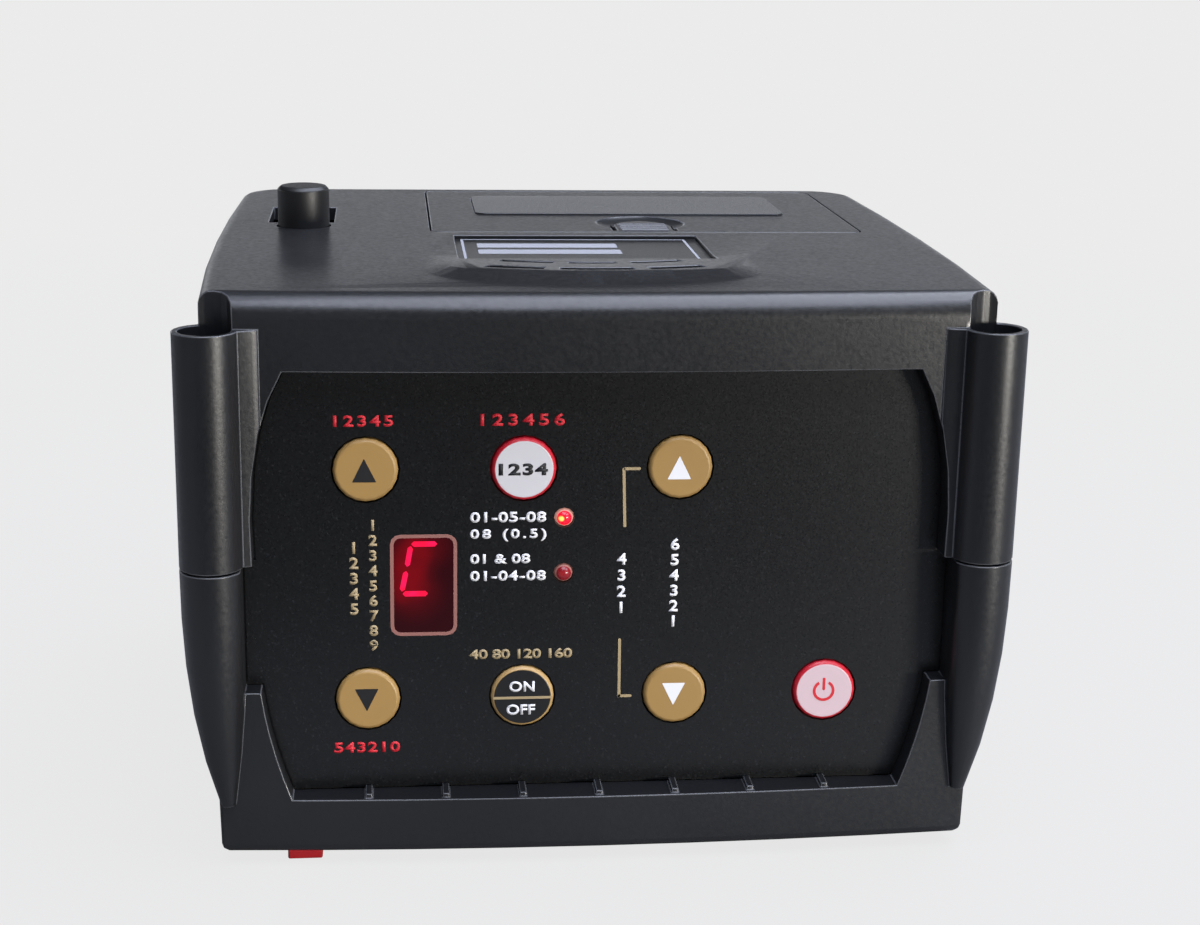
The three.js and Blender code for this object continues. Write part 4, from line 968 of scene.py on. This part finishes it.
brackets = [
    ("bracket_upper_post", 3.46, 58.4, BRACKET_LINE, 9.5, 2.0),
    ("bracket_upper_arm", 4.6, 63.0, 2.6, BRACKET_LINE, 0.0),
    ("bracket_lower_post", 3.22, 30.6, BRACKET_LINE, 9.8, 0.5),
    ("bracket_lower_arm", 4.15, 25.9, 2.2, BRACKET_LINE, 0.0),
]
for name, x, z, wide, high, turn in brackets:
    print_on(flat_bar(x, z, wide, high, BRACKET_CORNER, turn), name, tan_ink)
display_frame = flat_bar(FRAME_X, FRAME_Z, FRAME_WIDE, FRAME_HIGH, FRAME_CORNER)
leave_line(display_frame, FRAME_LINE)
print_on(display_frame, "display_frame_line", blush_ink)
print("bracket bars:", len(brackets), "and a frame of", FRAME_LINE, "mm")

# %% [markdown]
# ## Print on the name plate
# The plate carries a thin pale border and two blank pale bars, where a number could be stamped. It lies
# flat, so its marks are thickened like the others but not stood up.

# %% Border and bars
PLATE_TOP = 90.1
plate_bars = [
    ("plate_bar_rear", -5.45, -7.1, 23.7, 4.3, 0.3),
    ("plate_bar_near", -5.4, -13.4, 23.9, 4.3, 0.3),
    ("plate_line_left", -19.7, -12.4, 0.45, 23.2, 0.1),
    ("plate_line_right", 18.7, -12.4, 0.45, 23.2, 0.1),
    ("plate_line_rear", -0.5, -0.7, 38.8, 0.5, 0.1),
]
for name, x, y, wide, long, corner in plate_bars:
    bar = flat_bar(x, y, wide, long, corner)
    print_on(bar, name, grey_ink, plane=PLATE_TOP, upright=False)
print("bars and lines on the name plate:", len(plate_bars))

# %% [markdown]
# ## Arrows on the keys
# The pitch and volume keys carry arrows, and all the marks on caps ride on their keys. A circle of three
# corners is a triangle, whose corners are then rounded a little, as ink rounds them.

# %% Arrows
ARROW_WIDE, ARROW_HIGH, ARROW_CORNER = 3.65, 3.7, 0.12
ARROW_LEFT, ARROW_NUDGE = 0.2, 0.05


def flat_arrow(x, z, wide, high, pointing):
    """A triangle that points up or down."""
    bpy.ops.mesh.primitive_circle_add(vertices=3, radius=1, fill_type="NGON")
    arrow = bpy.context.object
    least_x, most_x, least_y, most_y = flat_spans(arrow)
    across, up = wide * MM / (most_x - least_x), high * MM / (most_y - least_y)
    arrow.scale = (across, up, 1)
    settle(arrow)
    edit_mesh(arrow)
    bpy.ops.mesh.bevel(offset=ARROW_CORNER * MM, segments=2, affect="VERTICES")
    bpy.ops.object.mode_set(mode="OBJECT")
    middle = (most_y + least_y) / 2 * up
    arrow.location = (x * MM, z * MM - middle * pointing, 0)
    arrow.rotation_euler = (0, 0, 0 if pointing > 0 else math.pi)
    settle(arrow)
    return arrow


arrows = [
    ("pitch_up", black_ink, "key_black", 1),
    ("volume_up", white_ink, "key_white", 1),
    ("pitch_down", black_ink, "key_black", -1),
    ("volume_down", white_ink, "key_white", -1),
]
for key, ink, slot, pointing in arrows:
    x, z = key_places[key]
    arrow = flat_arrow(x - ARROW_LEFT, z + ARROW_NUDGE * pointing, ARROW_WIDE, ARROW_HIGH, pointing)
    print_on(arrow, f"{key}_arrow", ink, f"{key}_button", CAP_Y)
print("arrows:", len(arrows))

# %% [markdown]
# ## Marks on the mode, metronome and power keys
# The mode key has a short row of numbers, and the metronome key has ON over OFF with a bar between. The
# power sign is a ring that is open at its top, where an upright stroke stands: the ring's faces within 33
# degrees of straight up are deleted.

# %% Mode, metronome and power marks
MODE_BOX = (-15.9, -8.4, 62.25, 64.15)
ON_BOX, OFF_BOX = (-14.1, -10.1, 27.15, 28.9), (-14.5, -10.0, 23.3, 25.05)
METRONOME_BAR = (-12.0, 26.15, 9.2, 0.42, 0.1)
SIGN_RADIUS, SIGN_LINE, SIGN_SIDES = 1.75, 0.45, 48
SIGN_LEFT = 0.1
SIGN_OPENING = 33
STROKE_RISE, STROKE_LONG, STROKE_CORNER = 1.15, 2.1, 0.2

mode_mark = flat_words("1234", *MODE_BOX, bold=0.045, wider=1.5)
print_on(mode_mark, "mode_mark", black_ink, "mode_button", CAP_Y)
for name, words, box in (("metronome_on", "ON", ON_BOX), ("metronome_off", "OFF", OFF_BOX)):
    print_on(flat_words(words, *box, wider=1.1), name, white_ink, "metronome_button", CAP_Y)
print_on(flat_bar(*METRONOME_BAR), "metronome_bar", tan_ink, "metronome_button", CAP_Y)

power_x, power_z = key_places["power"]
sign_x = power_x - SIGN_LEFT
bpy.ops.mesh.primitive_circle_add(vertices=SIGN_SIDES, radius=SIGN_RADIUS * MM, fill_type="NGON")
sign = bpy.context.object
leave_line(sign, SIGN_LINE)
sign.location = (sign_x * MM, power_z * MM, 0)
settle(sign)
edit_mesh(sign)
bpy.ops.mesh.select_all(action="DESELECT")
bpy.ops.object.mode_set(mode="OBJECT")
for face in sign.data.polygons:
    middle = Vector(face.center) - Vector((sign_x * MM, power_z * MM, 0))
    face.select = abs(math.atan2(middle.x, middle.y)) < math.radians(SIGN_OPENING)
bpy.ops.object.mode_set(mode="EDIT")
bpy.ops.mesh.delete(type="FACE")
bpy.ops.object.mode_set(mode="OBJECT")
print_on(sign, "power_sign_arc", red_ink_painted_glow, "power_button", CAP_Y)
stroke = flat_bar(sign_x, power_z + STROKE_RISE, SIGN_LINE, STROKE_LONG, STROKE_CORNER)
print_on(stroke, "power_sign_bar", red_ink_painted_glow, "power_button", CAP_Y)
print("power sign:", 2 * SIGN_RADIUS, "mm across")

# %% [markdown]
# ## The lit digit
# Four of the display's segments are lit. Each is a bar with cut corners, and the uprights lean by about
# ten degrees. A lit segment gives its own light, so its colour is in the emission, with a faint change
# from place to place, as over its chips.

# %% Lit segments
SEGMENT_CORNER = 0.36
CHIP_SPACING = 1.6 * MM
SEGMENTS = [
    ("segment_top", -27.2, 51.36, 3.9, 0.85, 0.0),
    ("segment_upper", -29.55, 49.4, 0.82, 3.3, -10.0),
    ("segment_lower", -30.32, 45.4, 0.82, 3.3, -11.5),
    ("segment_bottom", -28.6, 43.38, 3.8, 0.88, 0.0),
]


def segment_material():
    """A lit segment: pinkish red light, a little uneven."""
    material, tree, shader, place = start_material("lit_red_segment")
    chips = add_node(tree, "ShaderNodeTexNoise", {"Vector": place, "Scale": 1 / CHIP_SPACING, "Detail": 1.0})
    light = add_node(
        tree,
        "ShaderNodeValToRGB",
        {"Fac": chips.outputs["Fac"]},
        stops=[(NOISE_LOW, linear("#ff0a3c")), (NOISE_HIGH, linear("#ff1458"))],
    )
    tree.links.new(light.outputs["Color"], shader.inputs["Emission Color"])
    shader.inputs["Emission Strength"].default_value = 1.1
    shader.inputs["Base Color"].default_value = linear("#400008")
    shader.inputs["Roughness"].default_value = 0.3
    return material


lit_segment = segment_material()
for name, x, z, wide, high, turn in SEGMENTS:
    bar = flat_bar(x, z, wide, high, SEGMENT_CORNER, turn, steps=1)
    print_on(bar, name, lit_segment)
print("lit segments:", len(SEGMENTS))

# %% [markdown]
# ## The display's lens
# A dark red lens hides the rest of the display. Light spills from the lit segments into it, so it glows a
# little near each of them: the nearness to every segment is added up, made slightly uneven, and turned to
# a deep red.

# %% Lens
LENS_REACH = 6.4
LENS_CLOUD = 4 * MM
ACRYLIC_IOR = 1.49


def lens_material(name, colour, glows, strength, reach):
    """Dark red lens: near each listed point of the panel it glows, less and less up to the reach."""
    material, tree, shader, place = start_material(name)
    total = None
    for x, z in glows:
        near = add_node(
            tree,
            "ShaderNodeMapRange",
            {"Value": panel_reach(tree, place, x, z), "From Min": 0.0, "From Max": reach * MM, "To Min": 1.0,
             "To Max": 0.0},
            interpolation_type="SMOOTHERSTEP",
        ).outputs["Result"]
        total = near if total is None else add_node(tree, "ShaderNodeMath", {0: total, 1: near}).outputs[0]
    cloud = add_node(tree, "ShaderNodeTexNoise", {"Vector": place, "Scale": 1 / LENS_CLOUD, "Detail": 1.0})
    slight = add_node(
        tree,
        "ShaderNodeMapRange",
        {"Value": cloud.outputs["Fac"], "From Min": NOISE_LOW, "From Max": NOISE_HIGH, "To Min": 0.42,
         "To Max": 0.56},
    )
    uneven = add_node(tree, "ShaderNodeMath", {0: total, 1: slight.outputs["Result"]}, operation="MULTIPLY")
    spill = add_node(
        tree,
        "ShaderNodeValToRGB",
        {"Fac": uneven.outputs[0]},
        stops=[(0.0, linear("#280508")), (0.45, linear("#48060b")), (0.95, linear("#78060f"))],
    )
    tree.links.new(spill.outputs["Color"], shader.inputs["Emission Color"])
    shader.inputs["Emission Strength"].default_value = strength
    shader.inputs["Base Color"].default_value = linear(colour)
    shader.inputs["Roughness"].default_value = 0.22
    shader.inputs["IOR"].default_value = ACRYLIC_IOR
    shader.inputs["Specular IOR Level"].default_value = 0.2
    return material


spots = [(x, z) for _, x, z, *_ in SEGMENTS]
dress("display_window", lens_material("red_display_lens", "#120306", spots, 1.0, LENS_REACH))
print("the lens glows within", LENS_REACH, "mm of", len(spots), "points")

# %% [markdown]
# ## The two lamps
# Both lamps are the same 3 mm part in red resin. The upper one is lit: nearly all red, with an orange
# spot a little to the left, where the chip sits. The lower one is unlit, yet it is given a faint painted glow
# of the resin's dark red. The pale rim of each is the edge of its hole in the print, and its glow is painted.

# %% Lamps
LAMP_X, UPPER_LAMP_Z, LOWER_LAMP_Z = -5.75, 55.3, 46.4
LAMP_RADIUS = 1.5
CHIP_LEFT = 0.5
HOT_TO, BODY_FROM = 0.16, 0.34
LAMP_RIM_FROM, LAMP_RIM_TO = 1.1, 1.18


def lamp_material(name, z, rim, body, hot, strength):
    """Red resin seen end on: a hot spot left of the middle, then the body's red, then its hole's pale rim,
    all glowing; the rim's glow is painted, and so is all of it on an unlit lamp.
    """
    material, tree, shader, place = start_material(name)
    share = add_node(
        tree,
        "ShaderNodeMapRange",
        {"Value": panel_reach(tree, place, LAMP_X - CHIP_LEFT, z), "From Min": 0.0,
         "From Max": LAMP_RADIUS * MM},
    )
    hot, body = linear(hot), linear(body)
    inside = add_node(
        tree,
        "ShaderNodeValToRGB",
        {"Fac": share.outputs["Result"]},
        stops=[(0.0, hot), (HOT_TO, hot), (BODY_FROM, body), (1.0, body)],
    )
    outer = add_node(
        tree,
        "ShaderNodeMapRange",
        {"Value": panel_reach(tree, place, LAMP_X, z), "From Min": LAMP_RIM_FROM * MM,
         "From Max": LAMP_RIM_TO * MM},
    )
    glow = add_node(
        tree,
        "ShaderNodeMix",
        {0: outer.outputs["Result"], 6: inside.outputs["Color"], 7: linear(rim)},
        data_type="RGBA",
    )
    tree.links.new(glow.outputs[2], shader.inputs["Base Color"])
    tree.links.new(glow.outputs[2], shader.inputs["Emission Color"])
    shader.inputs["Emission Strength"].default_value = strength
    shader.inputs["Roughness"].default_value = 0.25
    return material


lit_resin = lamp_material("lit_red_resin", UPPER_LAMP_Z, "#a8786c", "#f21028", "#ffd060", 0.95)
# The unlit lamp is given a faint painted glow.
unlit_resin_painted_glow = lamp_material("unlit_red_resin_painted_glow", LOWER_LAMP_Z, "#9a6a62", "#7c141c", "#8c1c20", 0.3)
dress("upper_lamp", lit_resin)
dress("lower_lamp", unlit_resin_painted_glow)
print("lamps:", lit_resin.name, "and", unlit_resin_painted_glow.name)

# %% [markdown]
# ## The last measure
# Rounding only takes material off, and ink is thinner than a hair, so the dressed box has to be as large
# as the CAD one. The dressed box is printed here, in millimetres.

# %% Size after dressing
low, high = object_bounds()
print("dressed box in mm:", [round(side / MM, 1) for side in high - low])
